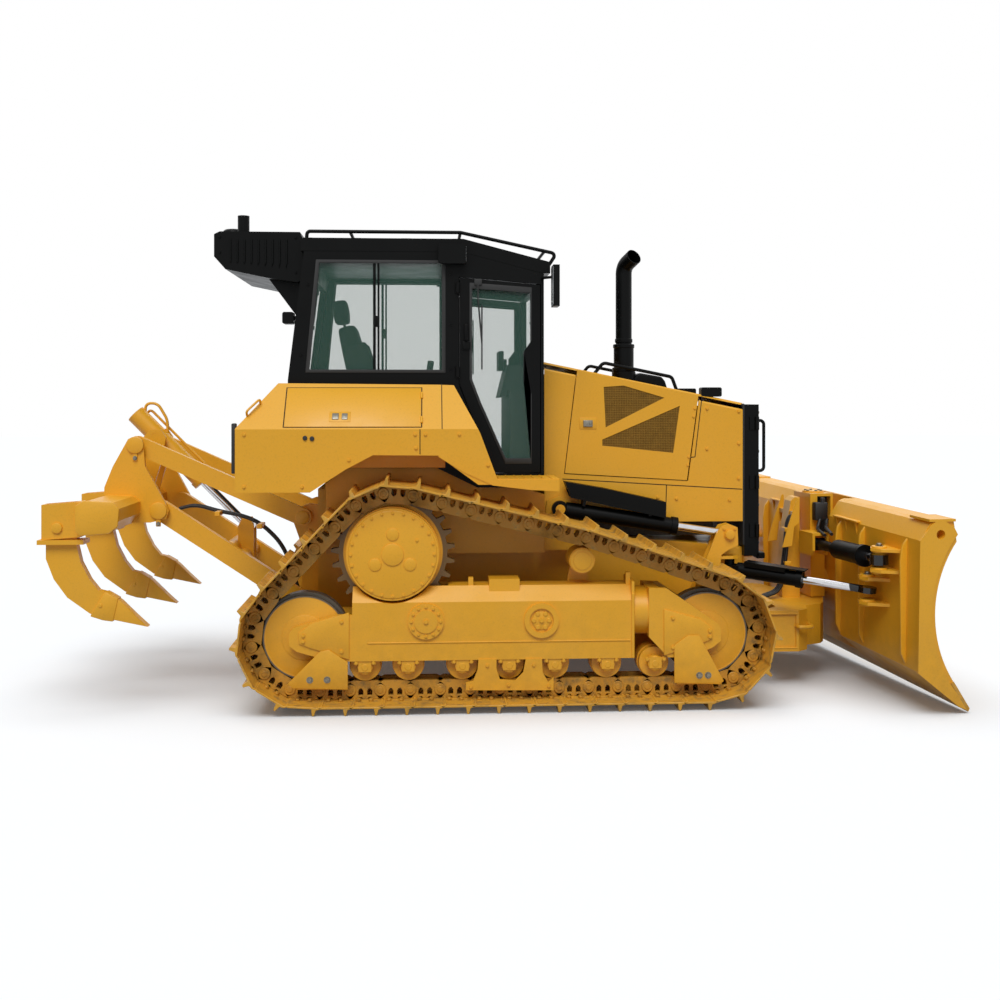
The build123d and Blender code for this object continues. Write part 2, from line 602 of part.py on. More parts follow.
def yoke():
    """Swivel that turns with the blade: column, tilt pin, upper box and tilt bracket."""
    solid = box(2440, 2555, -100, 100, 542, 949)
    solid += bar((YAW_X, 0, 445), (YAW_X, 0, 560), 50)
    solid += bar((YAW_X, 0, 940), (YAW_X, 0, 1000), 45)
    solid += bar((2550, 0, TILT_Z), (2583, 0, TILT_Z), 45)
    solid += box(2412, 2600, -150, 150, 981, 1001)
    solid += box(2412, 2600, -150, 150, 1332, 1354)
    solid += box(2412, 2470, -150, 150, 1000, 1340)
    solid += box(2580, 2600, -150, 150, 1000, 1340)
    solid += bar((2506, 0, 1350), (2506, 0, 1366), 85)
    solid += box(2480, 2590, -95, 95, 1000, 1335)
    # bracket that holds the tilt cylinder's inner pin
    solid += box(2318, 2452, -390, -150, 1052, 1072)
    solid += box(2414, 2452, -170, -140, 990, 1072)
    for near in (2318, 2432):
        solid += cross_plate([(-150, 1060), (-150, 900), (-360, 900), (-390, 940), (-390, 1060)],
                             near, near + 20)
    x, y, z = TILT_INBOARD
    return solid + bar((2318, y, z), (2452, y, z), 25)


ARC_CENTRE, ARC_R = (3436, 722), 830        # concave face of the blade
SHEET = 18
EDGE_HIGH, EDGE_LOW = (2721, 252), (2838, 69)       # seat of the cutting edge
TIE_HOLE = (2629, 1245)


def moldboard():
    half = BLADE_HALF - 16
    outline = [(2490, 334), (2490, 1205), (2562, 1320), (2600, 1337), (2728, 1337), (2754, 1187),
               (2900, 1187), (2900, 110), (2812, 110), (2778, 102)]
    solid = side_plate(outline, -half, half)
    solid -= disc(ARC_CENTRE, ARC_R, -half - 1, half + 1)
    front = [EDGE_HIGH, EDGE_LOW, (2950, 69), (2950, 264), (2740, 264)]
    solid -= side_plate(front, -half - 1, half + 1)
    behind = disc(ARC_CENTRE, ARC_R + SHEET, -half - 1, half + 1)
    solid -= box(2480, 2640, -500, 500, 60, 960) - behind
    solid -= box(2480, 2700, -300, 300, 959, 1400) - behind
    # end plates stand 30 back from the concave face, with a round lobe about the tie hole
    end = side_plate([(2482, 330), (2482, 1205), (2560, 1300), (2720, 1300), (2790, 1176),
                      (2790, 300), EDGE_HIGH, EDGE_LOW, (2778, 95)], -BLADE_HALF, -half)
    end += disc(TIE_HOLE, 92, -BLADE_HALF, -half)
    end -= disc(ARC_CENTRE, ARC_R + 30, -BLADE_HALF - 1, -half)
    end += box(2545, 2735, -BLADE_HALF, -BLADE_HALF + 250, 1330, 1347)
    solid += both(end)
    solid -= both(disc(TIE_HOLE, 31, -BLADE_HALF - 1, -half + 60))
    # boss on the tilt pin
    solid += bar((2560, 0, TILT_Z), (2604, 0, TILT_Z), 100)
    solid -= bar((2550, 0, TILT_Z), (2585, 0, TILT_Z), 45 + CLEAR)
    for z in (ANGLE_EYE[2] - 98, ANGLE_EYE[2] + 76):
        lug = [(2495, -1240), (2360, -1170), (2335, -1095), (2360, -1020), (2495, -960)]
        solid += both(plan_plate(lug, z, z + 22))
    for z in (TILT_EYE[2] - 82, TILT_EYE[2] + 62):
        lug = [(2495, -1420), (2360, -1350), (2320, -1274), (2360, -1200), (2495, -1150)]
        solid += plan_plate(lug, z, z + 20)
    return solid


def cutting_edge():
    outline = [EDGE_HIGH, EDGE_LOW, (2848, 57.5), (2858, 81), (2740, 264)]
    return side_plate(outline, -BLADE_HALF, BLADE_HALF)


def with_yaw(shape):
    return Pos(YAW_X, 0, 0) * Rot(0, 0, BLADE_YAW) * Pos(-YAW_X, 0, 0) * shape


def with_tilt(shape):
    return with_yaw(Pos(0, 0, TILT_Z) * Rot(BLADE_TILT, 0, 0) * Pos(0, 0, -TILT_Z) * shape)


def turned(point, tilt=True):
    """A point of the square blade, carried to where the blade stands."""
    x, y, z = point[0] - YAW_X, point[1], point[2]
    if tilt:
        roll = math.radians(BLADE_TILT)
        z -= TILT_Z
        y, z = y * math.cos(roll) - z * math.sin(roll), y * math.sin(roll) + z * math.cos(roll)
        z += TILT_Z
    yaw = math.radians(BLADE_YAW)
    return (YAW_X + x * math.cos(yaw) - y * math.sin(yaw),
            x * math.sin(yaw) + y * math.cos(yaw), z)


# ---- cylinders ----------------------------------------------------------------------------
def placed(shape, start, end, up=(0, 0, 1)):
    """Carries a shape made along X at the origin onto the line from start to end."""
    along = (Vector(*end) - Vector(*start)).normalized()
    across = Vector(*up).cross(along).normalized()
    return Plane(origin=start, x_dir=along, z_dir=along.cross(across)) * shape


def tube_barrel(start, length, outer, bore, bottom=30):
    """Barrel along X from start, closed by its bottom, its bore open at the far end."""
    solid = bar((start, 0, 0), (length, 0, 0), outer)
    solid += bar((length - 45, 0, 0), (length, 0, 0), outer + 8)
    return solid - bar((start + bottom, 0, 0), (length + 1, 0, 0), bore)


def rod(reach, length, radius, eye_r, eye_half, axis):
    """Rod ending in an eye at reach along X; axis is the way its pin runs."""
    solid = bar((reach - length, 0, 0), (reach - eye_r * 0.5, 0, 0), radius)
    side = Vector(*axis) * eye_half
    centre = Vector(reach, 0, 0)
    return solid + bar(tuple(centre - side), tuple(centre + side), eye_r)


def lift_guard():
    """Cover over a lift cylinder, open below, on two brackets of the barrel."""
    cover = [(-4, 206), (302, 199), (748, 168), (767, 53), (58, 98)]
    hollow = [(14, 192), (300, 187), (738, 158), (752, 40), (50, 80)]
    solid = side_plate(cover, -80, 58) - side_plate(hollow, -70, 48)
    for x, top in ((150, 120), (640, 100)):
        solid += box(x, x + 20, -75, 53, 50, top)
    return solid


def lift_cylinder():
    rear, eye = (LIFT_REAR[0], -LIFT_Y, LIFT_REAR[1]), (LIFT_EYE[0], -LIFT_Y, LIFT_EYE[1])
    reach = math.dist(rear, eye)
    barrel = tube_barrel(40, 870, 58, 29.1)
    barrel += disc((0, 0), 60, -27, 27) + lift_guard()
    barrel -= disc((0, 0), 35 + CLEAR, -40, 40)
    stem = rod(reach, 700, 29, 52, 18, (0, 1, 0))
    return placed(barrel, rear, eye), placed(stem, rear, eye)


def angle_cylinder(side):
    """Trunnion block, barrel with its guards, and rod; side is -1 right, 1 left."""
    rear = (ANGLE_REAR[0], side * ANGLE_REAR[1], ANGLE_REAR[2])
    eye = turned((ANGLE_EYE[0], side * ANGLE_EYE[1], ANGLE_EYE[2]))
    flat = (eye[0], eye[1], rear[2])
    block = Cylinder(36, 146) + disc((0, 0), 20, -62, 62)
    block = placed(block, rear, flat)
    pins = bar((rear[0], rear[1], rear[2] - 92), (rear[0], rear[1], rear[2] + 92), 24)
    reach = math.dist(rear, eye)
    barrel = tube_barrel(60, 540, 55, 27.1, 12)
    barrel += box(-30, 80, -58, -42, -34, 34) + box(-30, 80, 42, 58, -34, 34)
    barrel -= disc((0, 0), 20 + CLEAR, -70, 70)
    barrel += box(120, 560, -62, 62, 66, 74) + box(120, 420, -62, 62, 40, 70)
    stem = rod(reach, reach - ANGLE_ROD_TAIL[side], 27, 62, 20, (0, 0, 1))
    return block + pins, placed(barrel, rear, eye), placed(stem, rear, eye)


def tilt_cylinder():
    inboard, eye = turned(TILT_INBOARD, tilt=False), turned(TILT_EYE)
    reach = math.dist(inboard, eye)
    yaw = math.radians(BLADE_YAW)
    up = Vector(math.cos(yaw), math.sin(yaw), 0)
    barrel = tube_barrel(330, 740, 70, 32.1) + bar((0, 0, 0), (345, 0, 0), 38)
    barrel += Cylinder(48, 80)
    barrel -= Cylinder(25 + CLEAR, 90)
    stem = rod(reach, 330, 32, 62, 35, (0, 1, 0))
    return placed(barrel, inboard, eye, tuple(up)), placed(stem, inboard, eye, tuple(up))


# ---- ripper -------------------------------------------------------------------------------
def ripper_lower():
    radius = 72
    arm = round_link(RIPPER_LOW_FRONT, RIPPER_LOW_REAR, radius, -412, -345)
    solid = both(arm)
    for pin in (RIPPER_LOW_FRONT, RIPPER_LOW_REAR):
        solid -= both(disc(pin, 32 + CLEAR, -420, -340))
    middle = ((RIPPER_LOW_FRONT[0] * 0.45 + RIPPER_LOW_REAR[0] * 0.55),
              (RIPPER_LOW_FRONT[1] * 0.45 + RIPPER_LOW_REAR[1] * 0.55))
    solid += disc(middle, 60, -350, 350)
    ear = [(-1990, 880), (-1990, 1120), (-1960, 1180), (-1900, 1180), (-1870, 1120), (-1870, 830)]
    for near in (-75, 50):
        solid += side_plate(ear, near, near + 25)
    return solid + disc((-1930, 900), 50, -350, 350)


def ripper_upper():
    arm = round_link(RIPPER_UP_FRONT, RIPPER_UP_REAR, 64, -412, -352)
    return both(arm - disc(RIPPER_UP_FRONT, 32 + CLEAR, -420, -340))


def ripper_carriage():
    plate = [(-2720, 1800), (-2830, 1600), (-2890, 1450), (-2895, 1360), (-2860, 1190),
             (-2560, 1190), (-2450, 1215), (-2430, 1276), (-2460, 1340), (-2600, 1600),
             (-2610, 1720), (-2625, 1790), (-2670, 1820)]
    solid = both(side_plate(plate, -460, -420))
    beam = [(-2922, 1360), (-2922, 1200), (-2880, 1165), (-2700, 1185), (-2633, 1262),
            (-2633, 1345), (-2680, 1385), (-2860, 1395)]
    solid += side_plate(beam, -1060, 1060)
    for y in (-950, 0, 950):
        pocket = [(-3165, 1370), (-2900, 1390), (-2900, 1150), (-3165, 1130)]
        solid += side_plate(pocket, y - 62, y + 62)
        solid -= box(-3145, -2935, y - 40, y + 40, 1000, 1500)
        solid += box(-3190, -2880, y - 80, y + 80, 1100, 1131) \
            - box(-3145, -2935, y - 40, y + 40, 1000, 1500)
    # pins of the lower links, and the cross pin that holds the cylinder
    solid += both(disc(RIPPER_LOW_REAR, 32, -430, -340))
    cheek = [(-2760, 1370), (-2690, 1800), (-2640, 1860), (-2560, 1860), (-2520, 1800),
             (-2560, 1600), (-2640, 1340)]
    solid += both(side_plate(cheek, -130, -100))
    return solid - disc(RIPPER_TRUNNION, 34 + CLEAR, -140, 140)


def shank(y):
    """A curved shank with its tip, thick as the pocket that holds it."""
    outer = [(-3143, 1300), (-3143, 1000), (-3090, 860), (-3000, 735), (-2850, 625),
             (-2800, 600), (-2740, 590), (-2458, 529), (-2660, 720), (-2730, 765),
             (-2790, 780), (-2850, 856), (-2910, 973), (-2937, 1089), (-2937, 1300)]
    solid = side_plate(outer, y - 36, y + 36)
    return solid


def ripper_cylinder():
    start, end = (RIPPER_TRUNNION[0], 0, RIPPER_TRUNNION[1]), (RIPPER_ROD_PIN[0], 0, RIPPER_ROD_PIN[1])
    reach = math.dist(start, end)
    barrel = tube_barrel(-250, 480, 72, 32.1)
    barrel += disc((0, 0), 34, -128, -60) + disc((0, 0), 34, 60, 128)
    stem = rod(reach, 600, 32, 58, 40, (0, 1, 0))
    return placed(barrel, start, end), placed(stem, start, end)


# ---- writing the pieces -------------------------------------------------------------------
os.makedirs("parts", exist_ok=True)

save("main_frame", main_frame())
save("engine_block", engine())
save("hood", hood())
save("radiator_guard", radiator_guard())
save("exhaust_stack", exhaust())
save("hood_rails", hood_rails())
save("cab_shell", cab_shell())
save("cab_glass", *cab_glass())
save("cab_roof", cab_roof())
save("roof_rail", roof_rail())
save("roof_cooling_box", cooling_box())
save("mirrors", mirrors())
save("work_lamps", *work_lamps())
save("seat", seat())
save("console", console())

right_track = track()
for side, place in (("right", lambda shape: shape), ("left", mirrored)):
    save(f"track_{side}", place(right_track))
    save(f"sprocket_{side}", place(sprocket()))
    save(f"idlers_{side}", place(idler(-IDLER_X)), place(idler(IDLER_X)))
    save(f"track_rollers_{side}", *[place(roller(x)) for x in ROLLER_X], place(carrier()))
    save(f"track_frame_{side}", place(track_frame()))
    save(f"side_tank_{side}", place(side_tank()))
    save(f"engine_door_{side}", place(engine_door()))
    frame, pane = cab_door()
    save(f"cab_door_{side}", place(frame))
    save(f"door_glass_{side}", place(pane))
    barrel, stem = lift_cylinder()
    save(f"lift_barrel_{side}", place(barrel))
    save(f"lift_rod_{side}", place(stem))
    block, barrel, stem = angle_cylinder(-1 if side == "right" else 1)
    save(f"angle_trunnion_{side}", block)
    save(f"angle_barrel_{side}", barrel)
    save(f"angle_rod_{side}", stem)

save("push_frame", push_frame())
save("blade_yoke", with_yaw(yoke()))
save("moldboard", with_tilt(moldboard()))
save("cutting_edge", with_tilt(cutting_edge()))
barrel, stem = tilt_cylinder()
save("tilt_barrel", barrel)
save("tilt_rod", stem)

save("ripper_lower_links", ripper_lower())
save("ripper_upper_links", ripper_upper())
save("ripper_carriage", ripper_carriage())
save("ripper_shanks", *[shank(y) for y in (-950, 0, 950)])
barrel, stem = ripper_cylinder()
save("ripper_barrel", barrel)
save("ripper_rod", stem)
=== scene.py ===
import math

import bpy
from mathutils import Matrix, Vector


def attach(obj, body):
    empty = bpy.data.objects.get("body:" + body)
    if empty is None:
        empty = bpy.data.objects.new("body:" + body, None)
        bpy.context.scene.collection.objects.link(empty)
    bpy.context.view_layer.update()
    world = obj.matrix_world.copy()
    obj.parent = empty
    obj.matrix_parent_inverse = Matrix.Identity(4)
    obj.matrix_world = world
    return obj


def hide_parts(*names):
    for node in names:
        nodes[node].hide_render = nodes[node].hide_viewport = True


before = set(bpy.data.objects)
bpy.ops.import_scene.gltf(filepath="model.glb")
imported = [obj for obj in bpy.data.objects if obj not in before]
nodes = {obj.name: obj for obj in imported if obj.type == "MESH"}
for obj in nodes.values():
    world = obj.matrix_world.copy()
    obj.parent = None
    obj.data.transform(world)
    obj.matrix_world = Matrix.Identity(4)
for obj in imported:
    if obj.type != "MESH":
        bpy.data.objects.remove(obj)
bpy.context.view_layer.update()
SIDES = (("right", -1), ("left", 1))

# ---- Enamel on the heavy steel -----------------------------------------------------------------
# Chassis enamel: a two-part industrial paint sprayed over primed steel plate. It has a soft
# gloss with a little orange peel, is paler where dust lies on it and browner low down.


def tone(code):
    """A colour written as sRGB hex, as the linear values that a shader takes."""
    parts = [int(code[start:start + 2], 16) / 255 for start in (1, 3, 5)]
    linear = [c / 12.92 if c <= 0.04045 else ((c + 0.055) / 1.055) ** 2.4 for c in parts]
    return (*linear, 1.0)


def add(material, kind, settings=(), links=()):
    """Adds a node to a material, with inputs or properties set and outputs linked to it."""
    node = material.node_tree.nodes.new(kind)
    for name, value in dict(settings).items():
        if isinstance(name, int) or name in node.inputs:
            node.inputs[name].default_value = value
        else:
            setattr(node, name, value)
    for name, output in dict(links).items():
        material.node_tree.links.new(output, node.inputs[name])
    return node


def new_material(name, **shader_settings):
    """A material with its shader, and Object coordinates in metres."""
    material = bpy.data.materials.new(name)
    material.use_nodes = True
    shader = material.node_tree.nodes["Principled BSDF"]
    for socket, value in shader_settings.items():
        shader.inputs[socket.replace("_", " ")].default_value = value
    place = add(material, "ShaderNodeTexCoord").outputs["Object"]
    return material, shader, place


def noise(material, place, size, detail=4.0, roughness=0.6):
    """Noise whose cells are about size metres across."""
    return add(material, "ShaderNodeTexNoise", {"Scale": 1 / size, "Detail": detail,
                                                "Roughness": roughness},
               {"Vector": place}).outputs["Fac"]


def ramp(material, value, stops):
    """A colour ramp through (position, colour) stops."""
    node = add(material, "ShaderNodeValToRGB", links={"Fac": value})
    elements = node.color_ramp.elements
    while len(elements) < len(stops):
        elements.new(0.5)
    for element, (position, colour) in zip(elements, stops):
        element.position, element.color = position, colour
    return node.outputs["Color"]


def grey(level):
    return (level, level, level, 1.0)


def mix(material, factor, first, second, blend_type="MIX"):
    """Colour mix; first and second are hex colours or outputs."""
    node = add(material, "ShaderNodeMix", {"data_type": "RGBA", "blend_type": blend_type})
    links = material.node_tree.links
    for socket, value in ((0, factor), (6, first), (7, second)):
        if isinstance(value, str):
            node.inputs[socket].default_value = tone(value)
        elif isinstance(value, float):
            node.inputs[socket].default_value = value
        else:
            links.new(value, node.inputs[socket])
    return node.outputs[2]


def calc(material, operation, *values, kind="ShaderNodeMath"):
    """The result of a maths node on numbers, points or outputs."""
    node = add(material, kind, {"operation": operation})
    for socket, value in zip(node.inputs, values):
        if isinstance(value, bpy.types.NodeSocket):
            material.node_tree.links.new(value, socket)
        else:
            socket.default_value = value
    return node.outputs["Value"]


def rise(material, value, start, end, top=1.0):
    """Nothing where value is at start, top where it is at end."""
    return add(material, "ShaderNodeMapRange", {"From Min": start, "From Max": end, "To Max": top},
               {"Value": value}).outputs["Result"]


def bump(material, shader, height, distance, strength=0.4):
    """Relief of the given depth in metres."""
    node = add(material, "ShaderNodeBump", {"Strength": strength, "Distance": distance},
               {"Height": height})
    material.node_tree.links.new(node.outputs["Normal"], shader.inputs["Normal"])


def enamel(name, colour, dusty, grime, gloss, shine=0.5, low=0.1, high=0.9):
    """Sprayed enamel: colour, its dusty and its grimy tone, and how far up the grime reaches."""
    material, shader, place = new_material(name, Specular_IOR_Level=shine)
    links = material.node_tree.links
    cloudy = ramp(material, noise(material, place, 0.45, 3.0), ((0.35, grey(0)), (0.75, grey(1))))
    fine = ramp(material, noise(material, place, 0.012, 6.0), ((0.52, grey(0)), (0.8, grey(1))))
    height = add(material, "ShaderNodeSeparateXYZ", links={0: place}).outputs["Z"]
    depth = rise(material, height, high, low, 0.3)
    patches = ramp(material, noise(material, place, 0.09, 5.0),
                   ((0.3, grey(0.15)), (0.7, grey(1))))
    dirt = calc(material, "MULTIPLY", depth, patches)
    painted = mix(material, calc(material, "MULTIPLY", cloudy, 0.22), colour, dusty)
    specked = mix(material, calc(material, "MULTIPLY", fine, 0.18), painted, grime)
    links.new(mix(material, dirt, specked, grime), shader.inputs["Base Color"])
    sheen = ramp(material, noise(material, place, 0.2, 4.0),
                 ((0.3, grey(gloss)), (0.75, grey(gloss + 0.16))))
    links.new(sheen, shader.inputs["Roughness"])
    # orange peel, cells of about 3 mm, drawn at 6 mm so that it shows
    bump(material, shader, noise(material, place, 0.006, 2.0), 0.0004, 0.25)
    return material


yellow_enamel = enamel("yellow_enamel", "#EFAE24", "#EFB53C", "#8A6424", 0.34)
black_enamel = enamel("black_enamel", "#070808", "#0D0E0E", "#171512", 0.32, 0.1)

PAINTED_YELLOW = ["main_frame", "hood", "push_frame", "blade_yoke", "ripper_lower_links",
                  "ripper_upper_links", "ripper_carriage", "ripper_shanks", "ripper_barrel",
                  "moldboard"]
PAINTED_BLACK = ["radiator_guard", "exhaust_stack", "hood_rails", "cab_shell", "cab_roof",
                 "roof_rail", "roof_cooling_box", "mirrors", "work_lamps", "tilt_barrel"]
for side, _ in SIDES:
    PAINTED_YELLOW += [f"{kind}_{side}" for kind in ("sprocket", "idlers", "track_rollers",
                                                     "track_frame", "side_tank", "engine_door")]
    PAINTED_BLACK += [f"{kind}_{side}" for kind in ("cab_door", "lift_barrel", "angle_barrel",
                                                    "angle_trunnion")]


def coat(name, material):
    """Gives a CAD node one finish all over."""
    slots = nodes[name].data.materials
    slots.clear()
    slots.append(material)


for name in PAINTED_YELLOW:
    coat(name, yellow_enamel)
for name in PAINTED_BLACK:
    coat(name, black_enamel)

# ---- Track chains ------------------------------------------------------------------------------
# Each chain is forged link rails on pins and bushings, with a rolled single-grouser shoe bolted
# to each pair of links. The links meet in a lap at every pin, and the shoes overlap a little.

GAUGE_HALF = 1.08
SHOE_WIDTH = 0.61
SHOES = 40
PIN_TO_SHOE = 0.06
SHOE_PLATE = 0.013
GROUSER = 0.045
PIN_HEIGHT = PIN_TO_SHOE + SHOE_PLATE + GROUSER
IDLER_X, IDLER_PIN_R = 1.373, 0.362
IDLER_Z = PIN_HEIGHT + IDLER_PIN_R
SPROCKET = (-0.78, 1.045)
SPROCKET_PIN_R = 0.408
CARRIER = (0.509, 0.985)
CARRIER_PIN_R = 0.159
# x, z, radius of the pins' path round each wheel, in the order that the path meets them
WHEELS = [(-IDLER_X, IDLER_Z, IDLER_PIN_R), (*SPROCKET, SPROCKET_PIN_R), (*CARRIER, CARRIER_PIN_R),
          (IDLER_X, IDLER_Z, IDLER_PIN_R)]


def pin_places():
    """The pins of one chain, evenly spaced along a tight path round its wheels."""
    spans = []
    for (xa, za, ra), (xb, zb, rb) in zip(WHEELS, WHEELS[1:] + WHEELS[:1]):
        distance = math.dist((xa, za), (xb, zb))
        heading = math.atan2(zb - za, xb - xa) + math.asin((rb - ra) / distance)
        spans.append((heading, math.sqrt(distance ** 2 - (rb - ra) ** 2)))
    pieces = []
    for index, (x, z, radius) in enumerate(WHEELS):
        before, after = spans[index - 1][0], spans[index]
        turn = (before - after[0]) % (2 * math.pi)
        pieces.append(("arc", radius * turn, x, z, radius, before + math.pi / 2))
        start = after[0] + math.pi / 2
        pieces.append(("run", after[1], x + radius * math.cos(start), z + radius * math.sin(start),
                       0, after[0]))
    pitch = sum(piece[1] for piece in pieces) / SHOES
    places = []
    for count in range(SHOES):
        rest = (count + 0.5) * pitch
        for kind, length, x, z, radius, angle in pieces:
            if rest <= length:
                break
            rest -= length
        if kind == "arc":
            angle -= rest / radius
            places.append((x + radius * math.cos(angle), z + radius * math.sin(angle)))
        else:
            places.append((x + rest * math.cos(angle), z + rest * math.sin(angle)))
    return places


PINS = pin_places()


def begin():
    """Leaves nothing selected."""
    if bpy.context.object and bpy.context.object.mode != "OBJECT":
        bpy.ops.object.mode_set(mode="OBJECT")
    bpy.ops.object.select_all(action="DESELECT")


def pick(piece):
    """Makes the piece the only one that the next operators work on."""
    begin()
    piece.select_set(True)
    bpy.context.view_layer.objects.active = piece


def settle(piece):
    """Puts the object at the origin, unturned and unscaled, with its place in its mesh."""
    pick(piece)
    bpy.ops.object.transform_apply(location=True, rotation=True, scale=True)
    return piece


def side_plate(outline, near, far):
    """A plate whose outline is in X and Z, from near to far in Y: a filled ring, extruded."""
    begin()
    bpy.ops.mesh.primitive_circle_add(vertices=len(outline), fill_type="NGON")
    plate = bpy.context.object
    for corner, (x, z) in zip(plate.data.vertices, outline):
        corner.co = (x, near, z)
    bpy.ops.object.mode_set(mode="EDIT")
    bpy.ops.mesh.select_all(action="SELECT")
    bpy.ops.mesh.extrude_region_move(TRANSFORM_OT_translate={"value": (0, far - near, 0)})
    bpy.ops.mesh.select_all(action="SELECT")
    bpy.ops.mesh.normals_make_consistent(inside=False)
    bpy.ops.object.mode_set(mode="OBJECT")
    return plate


def round_bar(start, end, radius, sides=24):
    """A round bar between two points."""
    begin()
    start, end = Vector(start), Vector(end)
    turn = (end - start).to_track_quat("Z", "Y").to_euler()
    bpy.ops.mesh.primitive_cylinder_add(vertices=sides, radius=radius, depth=(end - start).length,
                                        location=(start + end) / 2, rotation=turn)
    return settle(bpy.context.object)


def block(low, high):
    """A rectangular block between two corners, a start for shaping."""
    begin()
    low, high = Vector(low), Vector(high)
    bpy.ops.mesh.primitive_cube_add(size=1, location=(low + high) / 2)
    bpy.context.object.scale = high - low
    return settle(bpy.context.object)


def bevelled(piece, width, segments=2, angle=35):
    """Rounds the edges that are sharper than angle."""
    pick(piece)
    modifier = piece.modifiers.new("edge", "BEVEL")
    modifier.width, modifier.segments = width, segments
    modifier.limit_method, modifier.angle_limit = "ANGLE", math.radians(angle)
    bpy.ops.object.modifier_apply(modifier=modifier.name)
    return piece


def lump(low, high, width, segments=2):
    """A block with rounded edges."""
    return bevelled(block(low, high), width, segments)


def slab(outline, near, far, width, segments=2):
    """A side plate with rounded edges."""
    return bevelled(side_plate(outline, near, far), width, segments)


def rod(start, end, radius, sides, width, segments=2):
    """A round bar with rounded edges."""
    return bevelled(round_bar(start, end, radius, sides), width, segments)


def disc(x, z, near, far, radius, sides, width, segments=2):
    """A round bar along Y with rounded edges."""
    return rod((x, near, z), (x, far, z), radius, sides, width, segments)


def without(piece, cutter):
    """Cuts one closed piece out of another."""
    pick(piece)
    modifier = piece.modifiers.new("cut", "BOOLEAN")
    modifier.operation, modifier.solver, modifier.object = "DIFFERENCE", "EXACT", cutter
    bpy.ops.object.modifier_apply(modifier=modifier.name)
    bpy.data.objects.remove(cutter, do_unlink=True)
    return piece


def joined(pieces):
    """Makes one object of several; a single piece is left as it is."""
    if not isinstance(pieces, list):
        return pieces
    pick(pieces[0])
    for piece in pieces[1:]:
        piece.select_set(True)
    if len(pieces) > 1:
        bpy.ops.object.join()
    return bpy.context.object


def copied(piece, matrix):
    """A copy with its own mesh, carried by matrix and turned right way out if mirrored."""
    twin = piece.copy()
    twin.data = piece.data.copy()
    bpy.context.scene.collection.objects.link(twin)
    twin.data.transform(matrix)
    if matrix.determinant() < 0:
        twin.data.flip_normals()
    return twin


def repeated(piece, matrices):
    """Copies of one piece at each of the places, as one object; the model itself goes."""
    twins = [copied(piece, matrix) for matrix in matrices]
    bpy.data.objects.remove(piece, do_unlink=True)
    return joined(twins)


def dressed(name, pieces, material, body="chassis", smooth=35):
    """One object of the pieces, with its name, finish and body.
    """
    piece = joined(pieces)
    piece.name = piece.data.name = name
    pick(piece)
    bpy.ops.object.shade_smooth_by_angle(angle=math.radians(smooth))
    piece.data.materials.clear()
    piece.data.materials.append(material)
    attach(piece, body)
    return piece


def worn_steel(name, paint, bare, earth, polish):
    """Painted steel that its work has rubbed: paint, bare metal and dried earth in patches."""
    material, shader, place = new_material(name, Specular_IOR_Level=0.5)
    links = material.node_tree.links
    rubbed = ramp(material, noise(material, place, 0.06, 6.0, 0.6),
                  ((0.5 - polish, grey(0)), (0.72 - polish, grey(0.9))))
    packed = ramp(material, noise(material, place, 0.16, 4.0),
                  ((0.48, grey(0)), (0.75, grey(0.7))))
    painted = mix(material, rubbed, paint, bare)
    links.new(mix(material, packed, painted, earth), shader.inputs["Base Color"])
    links.new(calc(material, "MULTIPLY", rubbed, 0.55), shader.inputs["Metallic"])
    links.new(ramp(material, packed, ((0.0, grey(0.45)), (0.8, grey(0.85)))),
              shader.inputs["Roughness"])
    # scratches and dried earth, 8 mm across
    bump(material, shader, noise(material, place, 0.008, 8.0, 0.7), 0.0015, 0.5)
    return material


chain_steel = worn_steel("rolled_shoe_steel", "#DBA233", "#A58A55", "#94702E", 0.0)
link_steel = worn_steel("forged_link_steel", "#C48E2A", "#7A6238", "#64491C", 0.0)


def rubbed_rim(name, axle, radius, steel):
    """The enamel, with all beyond a radius from the axles at X and -X rubbed down to steel."""
    material = yellow_enamel.copy()
    material.name = name
    shader = material.node_tree.nodes["Principled BSDF"]
    place = add(material, "ShaderNodeTexCoord").outputs["Object"]
    parts = add(material, "ShaderNodeSeparateXYZ", links={0: place}).outputs
    flat = add(material, "ShaderNodeCombineXYZ",
               links={"X": calc(material, "ABSOLUTE", parts["X"]), "Z": parts["Z"]})
    away = calc(material, "DISTANCE", flat.outputs["Vector"], (axle[0], 0, axle[1]),
                kind="ShaderNodeVectorMath")
    worn = rise(material, away, radius, radius + 0.006)
    paint = shader.inputs["Base Color"].links[0].from_socket
    material.node_tree.links.new(mix(material, worn, paint, steel), shader.inputs["Base Color"])
    return material


idler_rim = rubbed_rim("rubbed_idler_rim", (IDLER_X, IDLER_Z), 0.268, "#5C5346")
tooth_steel = rubbed_rim("rubbed_sprocket_teeth", (-SPROCKET[0], SPROCKET[1]), 0.335, "#6A4E20")
for side, _ in SIDES:
    coat(f"idlers_{side}", idler_rim)
    coat(f"sprocket_{side}", tooth_steel)


def shoe():
    """One shoe lying under a link: its plate, its bent leading lip and its grouser."""
    half = SHOE_WIDTH / 2
    face, tread, tip = PIN_TO_SHOE, PIN_TO_SHOE + SHOE_PLATE, PIN_TO_SHOE + SHOE_PLATE + GROUSER
    profile = [(-0.03, face - 0.01), (-0.022, face + 0.001), (0.185, face), (0.196, face - 0.004),
               (0.2, face + 0.006), (0.186, tread), (0.034, tread), (0.027, tip), (0.012, tip),
               (0.003, tread + 0.006), (-0.022, tread - 0.001), (-0.04, face - 0.004)]
    return slab(profile, -half, half, 0.0025, 1)


